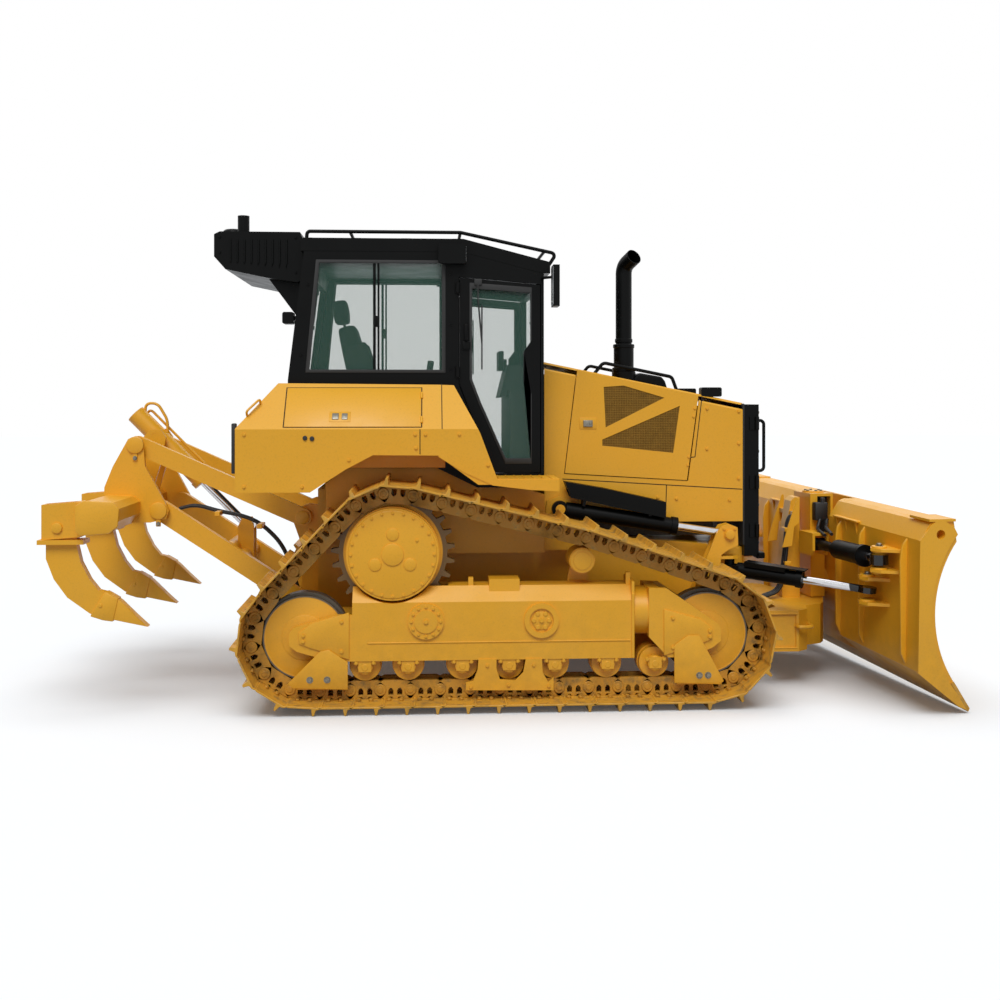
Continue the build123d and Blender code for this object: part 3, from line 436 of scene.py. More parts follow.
def link_rail(side):
    """One forged link: lapped eyes at both pins, a waisted web with two windows, a flat rail."""
    inner = -0.064
    outline = [(-0.03, -0.03), (-0.012, -0.046), (0.022, inner), (0.18, inner), (0.214, -0.046),
               (0.232, -0.028), (0.232, 0.03), (0.214, 0.056), (0.15, 0.06), (0.14, 0.047),
               (0.124, 0.047), (0.114, 0.06), (0.088, 0.06), (0.078, 0.047), (0.062, 0.047),
               (0.052, 0.06), (-0.012, 0.056), (-0.03, 0.03)]
    near, far = sorted((side * 0.058, side * 0.092))
    rail = side_plate(outline, near, far)
    for centre in (0.071, 0.131):
        window = [(centre - 0.017, 0.004), (centre - 0.006, -0.012), (centre + 0.006, -0.012),
                  (centre + 0.017, 0.004), (centre + 0.017, 0.036), (centre - 0.017, 0.036)]
        rail = without(rail, side_plate(window, near - 0.01, far + 0.01))
    bevelled(rail, 0.003, 1, 50)
    outer = side * 0.1
    boss = disc(0, 0, side * 0.06, outer, 0.04, 20, 0.004, 1)
    cap = disc(0, 0, outer - side * 0.01, outer + side * 0.004, 0.021, 16, 0.003, 1)
    return [rail, boss, cap]


def bolt(radius, height, at=(0, 0, 0), along=(0, 0, 1)):
    """A hexagon bolt head on its washer."""
    at, along = Vector(at), Vector(along).normalized()
    washer = round_bar(at, at + along * height * 0.2, radius * 1.35, 14)
    head = rod(at + along * height * 0.2, at + along * height, radius, 6, radius * 0.12, 1)
    return [washer, head]


def link_place(index):
    """The matrix that lays a shoe or link, drawn along X from its pin, between two pins."""
    (xa, za), (xb, zb) = PINS[index], PINS[(index + 1) % SHOES]
    turn = Matrix.Rotation(-math.atan2(zb - za, xb - xa), 4, "Y")
    return Matrix.Translation((xa, 0, za)) @ turn


nuts = []
for x in (0.06, 0.142):
    for y in (-0.15, -0.12, 0.12, 0.15):
        nuts += bolt(0.014, 0.014, (x, y, PIN_TO_SHOE), (0, 0, -1))
link = link_rail(-1) + link_rail(1) + [round_bar((0, -0.058, 0), (0, 0.058, 0), 0.03, 16)]
LINK_PLACES = [link_place(index) for index in range(SHOES)]
BELTS = [("track_shoes", repeated(shoe(), LINK_PLACES), chain_steel),
         ("track_chain", repeated(joined(link), LINK_PLACES), link_steel),
         ("shoe_nuts", repeated(joined(nuts), LINK_PLACES), link_steel)]
for side, sign in SIDES:
    for name, belt, material in BELTS:
        twin = copied(belt, Matrix.Translation((0, sign * GAUGE_HALF, 0)))
        dressed(f"{name}_{side}", twin, material, "chassis")
        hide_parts(f"track_{side}")
for _, belt, _ in BELTS:
    bpy.data.objects.remove(belt, do_unlink=True)

# ---- Chrome, glass and small finishes ----------------------------------------------------------
# Hard chrome on the rods, tinted safety glass in the cab, woven cloth on the seat, and moulded
# grained plastic on the console. Each is a bought-in part, fitted after the steel is painted.


def plain(name, colour, second, size, roughness, metallic=0.0, relief=0.0):
    """A finish that varies between two near colours, with a grain of the given size in metres."""
    material, shader, place = new_material(name, Metallic=metallic)
    links = material.node_tree.links
    grain = noise(material, place, size, 4.0)
    links.new(mix(material, ramp(material, grain, ((0.3, grey(0)), (0.7, grey(1)))), colour,
                  second), shader.inputs["Base Color"])
    links.new(ramp(material, grain, ((0.3, grey(roughness)), (0.7, grey(roughness + 0.08)))),
              shader.inputs["Roughness"])
    if relief:
        bump(material, shader, grain, relief, 0.5)
    return material


hard_chrome = plain("hard_chrome", "#D8D8DA", "#C4C4C8", 0.08, 0.08, 1.0)
seat_cloth = plain("woven_seat_cloth", "#2A2C2C", "#1B1D1D", 0.004, 0.85, 0.0, 0.0008)
grained_plastic = plain("moulded_abs", "#202122", "#161717", 0.003, 0.5, 0.0, 0.0003)
cast_iron = plain("cast_iron", "#4A453B", "#37332B", 0.02, 0.6, 0.2, 0.001)
ground_edge = worn_steel("ground_edge_steel", "#D19A33", "#A07C40", "#7E5C28", 0.0)
safety_glass, glass_shader, _ = new_material("tinted_safety_glass", Roughness=0.03, IOR=1.45)
glass_shader.inputs["Base Color"].default_value = tone("#5F8F7E")
glass_shader.inputs["Alpha"].default_value = 0.17

for side, _ in SIDES:
    for name in (f"lift_rod_{side}", f"angle_rod_{side}"):
        coat(name, hard_chrome)
    coat(f"door_glass_{side}", safety_glass)
coat("tilt_rod", hard_chrome)
coat("ripper_rod", hard_chrome)
coat("cab_glass", safety_glass)
coat("seat", seat_cloth)
coat("console", grained_plastic)
coat("engine_block", cast_iron)
coat("cutting_edge", ground_edge)

# ---- Pairs and fastenings ----------------------------------------------------------------------
# Most fittings come in a right and a left hand. Panels are held by flanged hexagon bolts, zinc
# plated or painted over with the panel, and heavy pins by a keeper plate and one bolt.

MIRROR = Matrix.Scale(-1, 4, (0, 1, 0))


def pair(name, pieces, material, body="chassis", smooth=35):
    """Finishes right-hand pieces and their mirror image; {} in body stands for the side."""
    right = joined(pieces)
    left = copied(right, MIRROR)
    for side, piece in (("right", right), ("left", left)):
        dressed(f"{name}_{side}", piece, material, body.format(side), smooth)


def bolts(places, radius=0.011, height=0.01, along=(0, -1, 0)):
    """Bolt heads at the places."""
    head = joined(bolt(radius, height, (0, 0, 0), along))
    return repeated(head, [Matrix.Translation(place) for place in places])


def on_face(y, *places):
    """Places given in X and Z, on a face at y."""
    return [(x, y, z) for x, z in places]


def ring(centre, radius, count, y, phase=0.0):
    """Places on a circle about a centre given in X and Z."""
    turns = [phase + 2 * math.pi * step / count for step in range(count)]
    return [(centre[0] + radius * math.cos(turn), y, centre[1] + radius * math.sin(turn))
            for turn in turns]


def tube(points, radius, bend=0.03, sides=10):
    """A bent tube or fixed hose through points, its corners rounded."""
    curve = bpy.data.curves.new("tube", "CURVE")
    curve.dimensions, curve.bevel_depth, curve.bevel_resolution = "3D", radius, max(1, sides // 4)
    curve.resolution_u, curve.use_fill_caps = 8, True
    route = [Vector(points[0])]
    for before, corner, after in zip(points, points[1:], points[2:]):
        corner = Vector(corner)
        for end in (Vector(before), Vector(after)):
            step = end - corner
            route.append(corner + step.normalized() * min(bend, step.length * 0.45))
    route.append(Vector(points[-1]))
    line = curve.splines.new("BEZIER")
    line.bezier_points.add(len(route) - 1)
    for index, (knot, point) in enumerate(zip(line.bezier_points, route)):
        knot.co = point
        knot.handle_left_type = knot.handle_right_type = "VECTOR"
        if 0 < index < len(route) - 1:
            # the handle on the corner's side points at the corner
            corner = Vector(points[(index + 1) // 2])
            towards = point + (corner - point) * 0.6
            if index % 2:
                knot.handle_right_type, knot.handle_right = "FREE", towards
            else:
                knot.handle_left_type, knot.handle_left = "FREE", towards
    holder = bpy.data.objects.new("tube", curve)
    bpy.context.scene.collection.objects.link(holder)
    pick(holder)
    bpy.ops.object.convert(target="MESH")
    return bpy.context.object


zinc = plain("zinc_plated_steel", "#8F8B80", "#6F6B60", 0.01, 0.38, 0.8)
rubber = plain("moulded_rubber", "#101111", "#1A1A1A", 0.006, 0.62, 0.0, 0.0002)
hose_rubber = plain("braided_hose", "#0E0F0F", "#1B1B1C", 0.003, 0.5, 0.0, 0.0006)
# flat black for the dark sealed joints and gaps, and as painted shade inside the swivel's well
dark_inside = plain("dark_joints_and_painted_shade", "#0A0A0A", "#141312", 0.05, 0.9)

# ---- Engine doors ------------------------------------------------------------------------------
# Pressed steel doors with two tapering vents. Each vent is closed by a welded mesh painted
# with the door, in a darker brown, over a thin sheet of painted shade for the dark inside behind
# it.

DOOR_FACE = -0.526
VENTS = [[(0.755, 2.18), (0.905, 2.19), (1.21, 2.1), (0.77, 1.88)],
         [(1.325, 2.04), (1.275, 1.69), (0.745, 1.745), (0.745, 1.79)]]
# the mesh is coloured a darker brown than the door's enamel
vent_mesh_paint = plain("darker_vent_mesh", "#B88C32", "#9C7526", 0.03, 0.7)
# painted shade: the vent's dark inside is a flat brown-yellow sheet, not a lit duct
vent_shade_paint = plain("vent_duct_paint", "#8A6826", "#735620", 0.05, 0.85)


def vent_mesh(corners, y, pitch, wire):
    """A mesh of wires that fills an outline in X and Z."""
    low = [min(point[axis] for point in corners) for axis in (0, 1)]
    high = [max(point[axis] for point in corners) for axis in (0, 1)]
    size = [high[axis] - low[axis] for axis in (0, 1)]
    begin()
    bpy.ops.mesh.primitive_grid_add(x_subdivisions=int(size[0] / pitch),
                                    y_subdivisions=int(size[1] / pitch), size=1,
                                    location=((low[0] + high[0]) / 2, y, (low[1] + high[1]) / 2),
                                    rotation=(math.radians(90), 0, 0))
    sheet = bpy.context.object
    sheet.scale = (size[0], size[1], 1)
    settle(sheet)
    middle = Vector((sum(p[0] for p in corners) / len(corners), y,
                     sum(p[1] for p in corners) / len(corners)))
    bpy.ops.object.mode_set(mode="EDIT")
    for (xa, za), (xb, zb) in zip(corners, corners[1:] + corners[:1]):
        outward = Vector((zb - za, 0, xa - xb)).normalized()
        if outward.dot(Vector((xa, y, za)) - middle) < 0:
            outward = -outward
        bpy.ops.mesh.select_all(action="SELECT")
        bpy.ops.mesh.bisect(plane_co=(xa, y, za), plane_no=outward, clear_outer=True)
    bpy.ops.object.mode_set(mode="OBJECT")
    modifier = sheet.modifiers.new("wires", "WIREFRAME")
    modifier.thickness, modifier.use_even_offset = wire, False
    bpy.ops.object.modifier_apply(modifier=modifier.name)
    return sheet


for index, corners in enumerate(VENTS):
    pair(f"vent_mesh_{index}", vent_mesh(corners, DOOR_FACE + 0.004, 0.0125, 0.0035),
         vent_mesh_paint, "engine_door_{}", 20)
    # painted shade: a thin dark sheet just behind each mesh stands for the shaded inside of the
    # vent
    pair(f"vent_duct_{index}", slab(corners, DOOR_FACE + 0.0065, DOOR_FACE + 0.0078, 0.0004, 1),
         vent_shade_paint, "engine_door_{}")
# pull-handle latch in a shallow dish
pair("door_latch_dish", lump((0.575, DOOR_FACE - 0.004, 1.868), (0.7, DOOR_FACE + 0.001, 1.952),
                             0.003), yellow_enamel, "engine_door_{}")
pair("door_latch",
     [lump((0.602, DOOR_FACE - 0.016, 1.885), (0.672, DOOR_FACE - 0.003, 1.934), 0.005),
      disc(0.655, 1.91, DOOR_FACE - 0.003, DOOR_FACE - 0.02, 0.011, 16, 0.002, 1)], zinc,
     "engine_door_{}")
pair("door_hinge_bolts",
     bolts(on_face(DOOR_FACE, (1.437, 2.02), (1.428, 1.96), (1.392, 1.66), (1.384, 1.6)), 0.009,
           0.008), yellow_enamel, "engine_door_{}")

# ---- Hood --------------------------------------------------------------------------------------
# The hood's front cap is a bolted panel with seams round it, and a rubber seal lies between the
# hood and the radiator guard.

HOOD_FACE = -0.52


def seam(start, end, width=0.006, proud=0.0012):
    """A dark sealed joint between two panels: a thin strip from start to end in X and Z."""
    (xa, za), (xb, zb) = start, end
    side = Vector((zb - za, 0, xa - xb)).normalized() * width / 2
    outline = [(xa + side.x, za + side.z), (xb + side.x, zb + side.z), (xb - side.x, zb - side.z),
               (xa - side.x, za - side.z)]
    return side_plate(outline, HOOD_FACE - proud, HOOD_FACE + 0.001)


pair("hood_seams", [seam((1.494, 2.118), (1.44, 1.66)), seam((1.44, 1.66), (1.228, 1.64)),
                    seam((0.448, 1.5), (1.795, 1.418)), seam((1.226, 1.455), (1.219, 1.2))],
     dark_inside)
pair("hood_bolts",
     bolts(on_face(HOOD_FACE, (1.53, 2.02), (1.53, 1.72), (1.77, 2.0), (1.77, 1.76), (1.77, 1.5),
                   (0.48, 1.42), (0.9, 1.38), (1.16, 1.36), (1.3, 1.35), (1.7, 1.34))),
     yellow_enamel)
# low cover of the cooling system, across the hood's top, and the exhaust's collar
dressed("hood_cover",
        slab([(1.0, 2.215), (1.035, 2.268), (1.065, 2.29), (1.235, 2.26), (1.262, 2.225),
              (1.285, 2.15), (1.0, 2.2)], -0.3, 0.3, 0.018, 3), black_enamel)
STACK = (0.95, -0.25)
collar = [rod((*STACK, z), (*STACK, z + 0.03), radius, 32, 0.004, 1)
          for z, radius in ((2.3, 0.088), (2.478, 0.081), (2.52, 0.067))]
collar += bolt(0.008, 0.05, (0.95, -0.335, 2.315), (1, 0, 0))
dressed("exhaust_bands", collar, black_enamel)
dressed("guard_seal", lump((1.8, -0.524, 1.0), (1.814, 0.524, 2.056), 0.004, 1), rubber)
lens_glass = plain("lamp_lens", "#C9CDD0", "#E2E5E6", 0.02, 0.12)

# ---- Radiator guard ----------------------------------------------------------------------------
# A hinged black frame with heavy slats, three hinges and four bolts down each side.

GUARD_FACE = 1.922
guard_bolts = [(GUARD_FACE, y, z) for y in (-0.49, 0.49) for z in (1.02, 1.3, 1.7, 1.99)]
dressed("guard_bolts", bolts(guard_bolts, 0.012, along=(1, 0, 0)), zinc)
hinge = []
for z in (1.06, 1.42, 1.86):
    hinge.append(rod((1.905, -0.535, z), (1.905, -0.535, z + 0.1), 0.016, 16, 0.003, 1))
    hinge.append(lump((1.85, -0.529, z), (1.905, -0.52, z + 0.1), 0.002, 1))
pair("guard_hinges", hinge, black_enamel)
pair("guard_step", lump((1.905, -0.52, 0.9), (1.97, -0.4, 0.945), 0.006, 1), black_enamel)

# ---- Side tanks --------------------------------------------------------------------------------
# Folded plate tanks behind the cab doors. The leaning upper face carries a hinged service door
# with a twist latch, and flanged bolts hold the skins.

TANK_FACE, CREASE, SHOULDER = -1.17, 1.885, (-0.9, 2.203)
SLOPE = Vector((0, SHOULDER[0] - TANK_FACE, SHOULDER[1] - CREASE)).normalized()
SLOPE_OUT = Vector((0, -SLOPE.z, SLOPE.y))


def on_slope(x, up, out=0.0):
    """A point of the leaning face: x, distance up from its crease, and height over it."""
    return tuple(Vector((x, TANK_FACE, CREASE)) + SLOPE * up + SLOPE_OUT * out)


def slope_panel(x0, x1, up0, up1, out0, out1, edge=0.003):
    """A panel lying on the leaning face."""
    piece = block((x0, 0, out0), (x1, up1 - up0, out1))
    basis = Matrix(((1, 0, 0, 0), (0, SLOPE.y, SLOPE_OUT.y, 0), (0, SLOPE.z, SLOPE_OUT.z, 0),
                    (0, 0, 0, 1)))
    piece.data.transform(Matrix.Translation(on_slope(0, up0)) @ basis)
    return bevelled(piece, edge, 2)


def groove(x0, x1, up0, up1):
    """A dark gap between two skins of the leaning face."""
    return slope_panel(x0, x1, up0, up1, -0.001, 0.0012, 0.0003)


pair("service_door", slope_panel(-1.515, -0.59, 0.02, 0.368, -0.002, 0.004), yellow_enamel)
pair("service_door_gap",
     [groove(-1.523, -1.516, 0.014, 0.374), groove(-0.589, -0.582, 0.014, 0.374),
      groove(-1.516, -0.589, 0.369, 0.374), groove(-1.516, -0.589, 0.013, 0.018)], dark_inside)
pair("service_latch_dish", slope_panel(-1.215, -1.07, 0.06, 0.15, 0.002, 0.0075), yellow_enamel)
pair("service_latch", [slope_panel(-1.195, -1.15, 0.078, 0.132, 0.006, 0.014, 0.004),
                       slope_panel(-1.13, -1.09, 0.078, 0.132, 0.006, 0.012, 0.004)], zinc)
pair("service_hinges",
     [rod(on_slope(-0.586, up, 0.006), on_slope(-0.586, up + 0.055, 0.006), 0.009, 14, 0.002, 1)
      for up in (0.05, 0.27)], yellow_enamel)
pair("tank_bolts",
     bolts(on_face(TANK_FACE, (-1.779, 1.498), (-1.392, 1.496), (-1.077, 1.677), (-0.624, 1.757),
                   (-0.135, 1.64), (-1.779, 1.85), (-0.33, 1.85), (-0.63, 1.85), (-0.56, 1.85))),
     yellow_enamel)
pair("tank_plugs", [disc(x, z, TANK_FACE, TANK_FACE - 0.01, 0.016, 20, 0.004)
                    for x, z in ((-1.325, 1.822), (-1.372, 1.826))], rubber)
pair("skin_gap",
     [side_plate([(-0.6, 1.715), (-0.594, 1.713), (-0.594, 1.884), (-0.6, 1.884)],
                 TANK_FACE - 0.0012, TANK_FACE + 0.001), groove(-0.45, -0.444, 0.0, 0.41)],
     dark_inside)
pair("tank_handle",
     tube([on_slope(-1.77, 0.12, -0.002), on_slope(-1.77, 0.12, 0.045),
           on_slope(-1.69, 0.23, 0.045), on_slope(-1.69, 0.23, -0.002)], 0.008, 0.02),
     yellow_enamel)
pair("tail_strip", lump((-1.868, -1.15, 1.585), (-1.838, -1.085, 1.925), 0.008), rubber)
pair("step_ribs", [lump((x, -1.16, 1.544), (x + 0.012, -0.83, 1.55), 0.002, 1)
                   for x in (-0.12, -0.06, 0.0, 0.06, 0.12, 0.18, 0.24, 0.3)], yellow_enamel)

# ---- Drives, idlers and rollers ----------------------------------------------------------------
# The final drives end in cast covers, with a ring of bolts, three bosses and a drain plug. The
# idlers are forged, with a pressed hub cover, and the rollers are held by two bolts a side.

DRIVE_FACE = -1.25
cover = [disc(*SPROCKET, DRIVE_FACE + 0.02, DRIVE_FACE - 0.006, 0.3, 64, 0.01, 3),
         disc(*SPROCKET, DRIVE_FACE, DRIVE_FACE - 0.016, 0.075, 40, 0.005)]
cover += [disc(x, z, DRIVE_FACE, DRIVE_FACE - 0.014, 0.043, 32, 0.006)
          for x, _, z in ring(SPROCKET, 0.135, 3, 0, math.pi / 2)]
pair("drive_cover", cover, yellow_enamel)
cover_bolts = ring(SPROCKET, 0.281, 24, DRIVE_FACE - 0.005)
cover_bolts.append((-0.617, DRIVE_FACE - 0.005, 1.141))
pair("drive_bolts", bolts(cover_bolts, 0.01, 0.01), yellow_enamel)
for name, x in (("rear", -IDLER_X), ("front", IDLER_X)):
    pair(f"idler_hub_{name}", [disc(x, IDLER_Z, -1.176, -1.17, 0.262, 56, 0.004),
                               disc(x, IDLER_Z, -1.166, -1.182, 0.155, 40, 0.008)], yellow_enamel,
         "chassis")
ROLLER_X = (-0.966, -0.676, -0.31, 0.006, 0.317, 0.677, 1.004)
ROLLER_Z = 0.286
roller_caps = []
for x in ROLLER_X:
    roller_caps.append(disc(x, ROLLER_Z, -1.18, -1.232, 0.052, 28, 0.008))
    roller_caps.append(disc(x, ROLLER_Z, -1.23, -1.245, 0.024, 20, 0.004, 1))
pair("roller_caps", roller_caps, yellow_enamel)
pair("roller_bolts", bolts([(x + dx, -1.236, 0.318) for x in ROLLER_X for dx in (-0.058, 0.058)],
                           0.013, 0.014), yellow_enamel)

# ---- Track frames ------------------------------------------------------------------------------
# Box-section frames of welded plate. Bolted caps close the pivot shaft and the equaliser's pin,
# and the arms that hold the idlers have wear plates.

PIVOT, EQUALISER = (-0.557, 0.595), (0.223, 0.593)
pair("pivot_bolts", bolts(ring(PIVOT, 0.099, 12, -1.268), 0.01, 0.01), yellow_enamel)
star = [disc(*EQUALISER, -1.254, -1.262, 0.062, 36, 0.004)]
for x, _, z in ring(EQUALISER, 0.052, 6, 0):
    star.append(disc(x, z, -1.256, -1.268, 0.016, 18, 0.003, 1))
pair("equaliser_star", star, yellow_enamel)
pair("pivot_plug", bolts([(PIVOT[0], -1.276, PIVOT[1]), (EQUALISER[0], -1.262, EQUALISER[1])],
                         0.016, 0.012), yellow_enamel)
ARM_FACE = -1.262
arm_plates = []
for sign, x in ((-1, -1.3), (1, 1.29)):
    outline = [(x - sign * 0.23, 0.345), (x + sign * 0.03, 0.425), (x + sign * 0.105, 0.455),
               (x + sign * 0.105, 0.525), (x + sign * 0.02, 0.59), (x - sign * 0.23, 0.66)]
    arm_plates.append(slab(outline, ARM_FACE, -1.246, 0.004))
pair("idler_arm_plates", arm_plates, yellow_enamel)
arm_bolts = [(sign * 1.375, ARM_FACE, z) for sign in (-1, 1) for z in (0.47, 0.51)]
arm_bolts += [(sign * 1.12, ARM_FACE, z) for sign in (-1, 1) for z in (0.4, 0.6)]
pair("idler_arm_bolts", bolts(arm_bolts, 0.012, 0.012), yellow_enamel)
pair("frame_welds",
     [slab([(-0.95, 0.446), (0.83, 0.446), (0.83, 0.456), (-0.95, 0.456)], -1.256, -1.248, 0.003,
           1), lump((0.838, ARM_FACE, 0.33), (0.858, -1.246, 0.77), 0.004, 1)], yellow_enamel)
pair("guard_plate_bolts",
     bolts(on_face(-1.258, (-0.255, 0.15), (0.272, 0.15), (-0.143, 0.292), (0.17, 0.292),
                   (0.0, 0.16)), 0.011, 0.011), yellow_enamel)
pair("carrier_cap", [disc(*CARRIER, -1.17, far, radius, 36, 0.004)
                     for radius, far in ((0.082, -1.196), (0.062, -1.203))], yellow_enamel)

# ---- Cab ---------------------------------------------------------------------------------------
# A pressed steel cab painted satin black. Its panes sit in moulded rubber seals, and the side
# window slides on black bars. The doors carry a handle, two hinges and a wiper.

CAB_FACE = -0.8


def seal(corners, face, width, proud):
    """A rubber seal round a window: a frame outside its outline in X and Z."""
    middle = Vector((sum(p[0] for p in corners) / len(corners),
                     sum(p[1] for p in corners) / len(corners)))
    wide = side_plate([tuple(middle + (Vector(p) - middle) * (1 + width)) for p in corners],
                      face - proud, face + 0.01)
    hole = side_plate([tuple(middle + (Vector(p) - middle) * (1 - width * 0.5)) for p in corners],
                      face - 0.05, face + 0.05)
    return bevelled(without(wide, hole), 0.004, 2, 50)


SIDE_WINDOW = [(-1.388, 2.291), (-1.316, 3.06), (-0.436, 3.06), (-0.436, 2.291)]
DOOR_WINDOW = [(-0.235, 2.89), (0.19, 2.86), (0.19, 2.497), (0.14, 2.43), (0.14, 2.21),
               (0.19, 2.13), (0.19, 1.655), (0.01, 1.655), (-0.17, 2.06), (-0.235, 2.23)]
pair("side_window_seal", seal(SIDE_WINDOW, CAB_FACE, 0.04, 0.006), rubber)
pair("door_window_seal", seal(DOOR_WINDOW, CAB_FACE - 0.004, 0.045, 0.005), rubber, "cab_door_{}")
pair("window_slider", [lump((-0.932, -0.792, 2.285), (-0.912, -0.776, 3.066), 0.003, 1),
                       lump((-0.9, -0.796, 2.285), (-0.886, -0.78, 3.066), 0.003, 1),
                       lump((-0.925, -0.806, 2.6), (-0.895, -0.79, 2.68), 0.004)], black_enamel)
DOOR_HINGE = (-0.332, -0.822)
pair("cab_door_fittings", [lump((-0.285, -0.846, 2.505), (-0.262, -0.804, 2.62), 0.006),
                           lump((-0.3, -0.822, 2.44), (-0.24, -0.804, 2.5), 0.006),
                           rod((*DOOR_HINGE, 2.84), (*DOOR_HINGE, 2.92), 0.016, 16, 0.003, 1),
                           rod((*DOOR_HINGE, 2.24), (*DOOR_HINGE, 2.32), 0.016, 16, 0.003, 1)],
     black_enamel, "cab_door_{}")
pair("door_wiper",
     [tube([(-0.188, -0.815, 2.93), (-0.188, -0.828, 2.8), (-0.16, -0.826, 2.48)], 0.006, 0.02),
      lump((-0.165, -0.826, 2.3), (-0.155, -0.81, 2.76), 0.002, 1),
      lump((-0.215, -0.822, 2.9), (-0.16, -0.806, 2.945), 0.005)], rubber, "cab_door_{}")
post_bolts = [(-0.38, CAB_FACE, z) for z in (2.3, 2.62, 2.98)]
post_bolts += [(-1.44, CAB_FACE, 2.4), (-1.39, CAB_FACE, 2.9)]
pair("cab_bolts", bolts(post_bolts, 0.01, 0.009), black_enamel)
LENSES = [("roof_lens", (-0.28, -0.88, 3.06), (-0.274, -0.815, 3.17)),
          ("rear_lens", (-1.588, -0.65, 2.64), (-1.584, -0.57, 2.705)),
          ("hood_lens", (1.652, -0.462, 2.114), (1.657, -0.393, 2.172))]
for name, low, high in LENSES:
    pair(name, lump(low, high, 0.0015, 1), lens_glass, "chassis")
face_glass = plain("mirror_silver", "#C8CCCE", "#B8BCBF", 0.05, 0.04, 1.0)
pair("mirror_glass", lump((0.329, -0.99, 2.752), (0.333, -0.86, 3.018), 0.0015, 1), face_glass,
     "chassis")

# ---- Seat and controls -------------------------------------------------------------------------
# A sprung seat of sewn cloth over moulded foam, with a headrest and two armrests, before a dash
# of grained plastic with a display and two levers.


def cushion(name, low, high, lean=0.0, crown=0.02):
    """A crowned cushion that narrows towards its edges and leans back about its foot."""
    piece = block(low, high)
    bpy.ops.object.mode_set(mode="EDIT")
    bpy.ops.mesh.select_all(action="SELECT")
    bpy.ops.mesh.subdivide(number_cuts=5)
    bpy.ops.object.mode_set(mode="OBJECT")
    low, high = Vector(low), Vector(high)
    middle, half = (low + high) / 2, (high - low) / 2
    for vertex in piece.data.vertices:
        part = Vector([(vertex.co[axis] - middle[axis]) / half[axis] for axis in range(3)])
        for axis in range(3):
            others = [part[other] for other in range(3) if other != axis]
            swell = (1 - others[0] ** 2) * (1 - others[1] ** 2)
            vertex.co[axis] += part[axis] * crown * (swell - 0.35)
    modifier = piece.modifiers.new("foam", "SUBSURF")
    modifier.levels = modifier.render_levels = 2
    bpy.ops.object.modifier_apply(modifier=modifier.name)
    turn = Matrix.Rotation(-lean, 4, "Y")
    foot = Matrix.Translation((middle.x, 0, low.z))
    piece.data.transform(foot @ turn @ foot.inverted())
    dressed(name, piece, seat_cloth, "chassis", 60)
    return piece


pads = [cushion("seat_cushion", (-0.89, -0.235, 1.905), (-0.43, 0.235, 2.015)),
        cushion("seat_back", (-1.08, -0.235, 2.0), (-0.93, 0.235, 2.66), 0.24),
        cushion("headrest", (-1.255, -0.135, 2.67), (-1.145, 0.135, 2.845), 0.12, 0.012)]
for side in (-1, 1):
    pads.append(cushion(f"seat_wing_{'right' if side < 0 else 'left'}",
                        (-1.055, side * 0.215 - 0.032, 2.05), (-0.89, side * 0.215 + 0.032, 2.52),
                        0.24, 0.008))
frame_work = [lump((-0.885, -0.23, 1.87), (-0.44, 0.23, 1.912), 0.01),
              lump((-0.84, -0.17, 1.655), (-0.49, 0.17, 1.872), 0.02)]
frame_work += [round_bar((-1.165, y, 2.56), (-1.195, y, 2.7), 0.008, 12) for y in (-0.04, 0.04)]
seat_frame = dressed("seat_frame", frame_work, grained_plastic, "chassis")
for piece in pads + [seat_frame]:
    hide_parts("seat")
display = [lump((0.0, -0.14, 2.31), (0.04, 0.14, 2.46), 0.008),
           lump((0.04, -0.03, 2.3), (0.07, 0.03, 2.4), 0.004, 1)]
for y in (-0.4, 0.4):
    display.append(lump((-0.9, y - 0.075, 2.12), (-0.52, y + 0.075, 2.17), 0.02, 3))
    display.append(tube([(-0.56, y, 2.15), (-0.55, y, 2.24), (-0.53, y, 2.3)], 0.012, 0.02))
    display.append(rod((-0.533, y, 2.285), (-0.52, y, 2.375), 0.024, 16, 0.01, 3))
dressed("cab_controls", display, grained_plastic, "chassis")

# ---- Blade, its swivel and the push frame ------------------------------------------------------
# The blade is a curved sheet on a box section, with a cutting edge held by plough bolts. It
# stands turned and tilted, so its fittings are drawn square and carried there.

YAW_X, TILT_Z = 2.5, 0.66
BLADE_YAW, BLADE_TILT = math.radians(7.0), math.radians(1.7)
YOKE_PLACE = (Matrix.Translation((YAW_X, 0, 0)) @ Matrix.Rotation(BLADE_YAW, 4, "Z")
              @ Matrix.Translation((-YAW_X, 0, 0)))
BLADE_PLACE = (YOKE_PLACE @ Matrix.Translation((0, 0, TILT_Z))
               @ Matrix.Rotation(BLADE_TILT, 4, "X") @ Matrix.Translation((0, 0, -TILT_Z)))
LIFT_EYE, PUSH_PIVOT = (1.66, 1.098), (0.9, 0.46)     # X and Z
ANGLE_EYE, TILT_EYE = (2.395, 1.095), (2.385, 1.274)  # X, and Y to either side


def carried(name, pieces, place, material, body):
    """Finishes pieces that were drawn with the blade square."""
    whole = joined(pieces)
    whole.data.transform(place)
    dressed(name, whole, material, body)


def black_eye(node, eye, reach):
    """Paints a chrome rod's cast eye black, up to a distance from the middle of its pin."""
    material = hard_chrome.copy()
    material.name = f"chrome_with_painted_eye_{node}"
    shader = material.node_tree.nodes["Principled BSDF"]
    place = add(material, "ShaderNodeTexCoord").outputs["Object"]
    away = calc(material, "DISTANCE", place, tuple(eye), kind="ShaderNodeVectorMath")
    shaft = rise(material, away, reach, reach + 0.002)
    links = material.node_tree.links
    chrome = shader.inputs["Base Color"].links[0].from_socket
    links.new(mix(material, shaft, "#101010", chrome), shader.inputs["Base Color"])
    links.new(shaft, shader.inputs["Metallic"])
    coat(node, material)


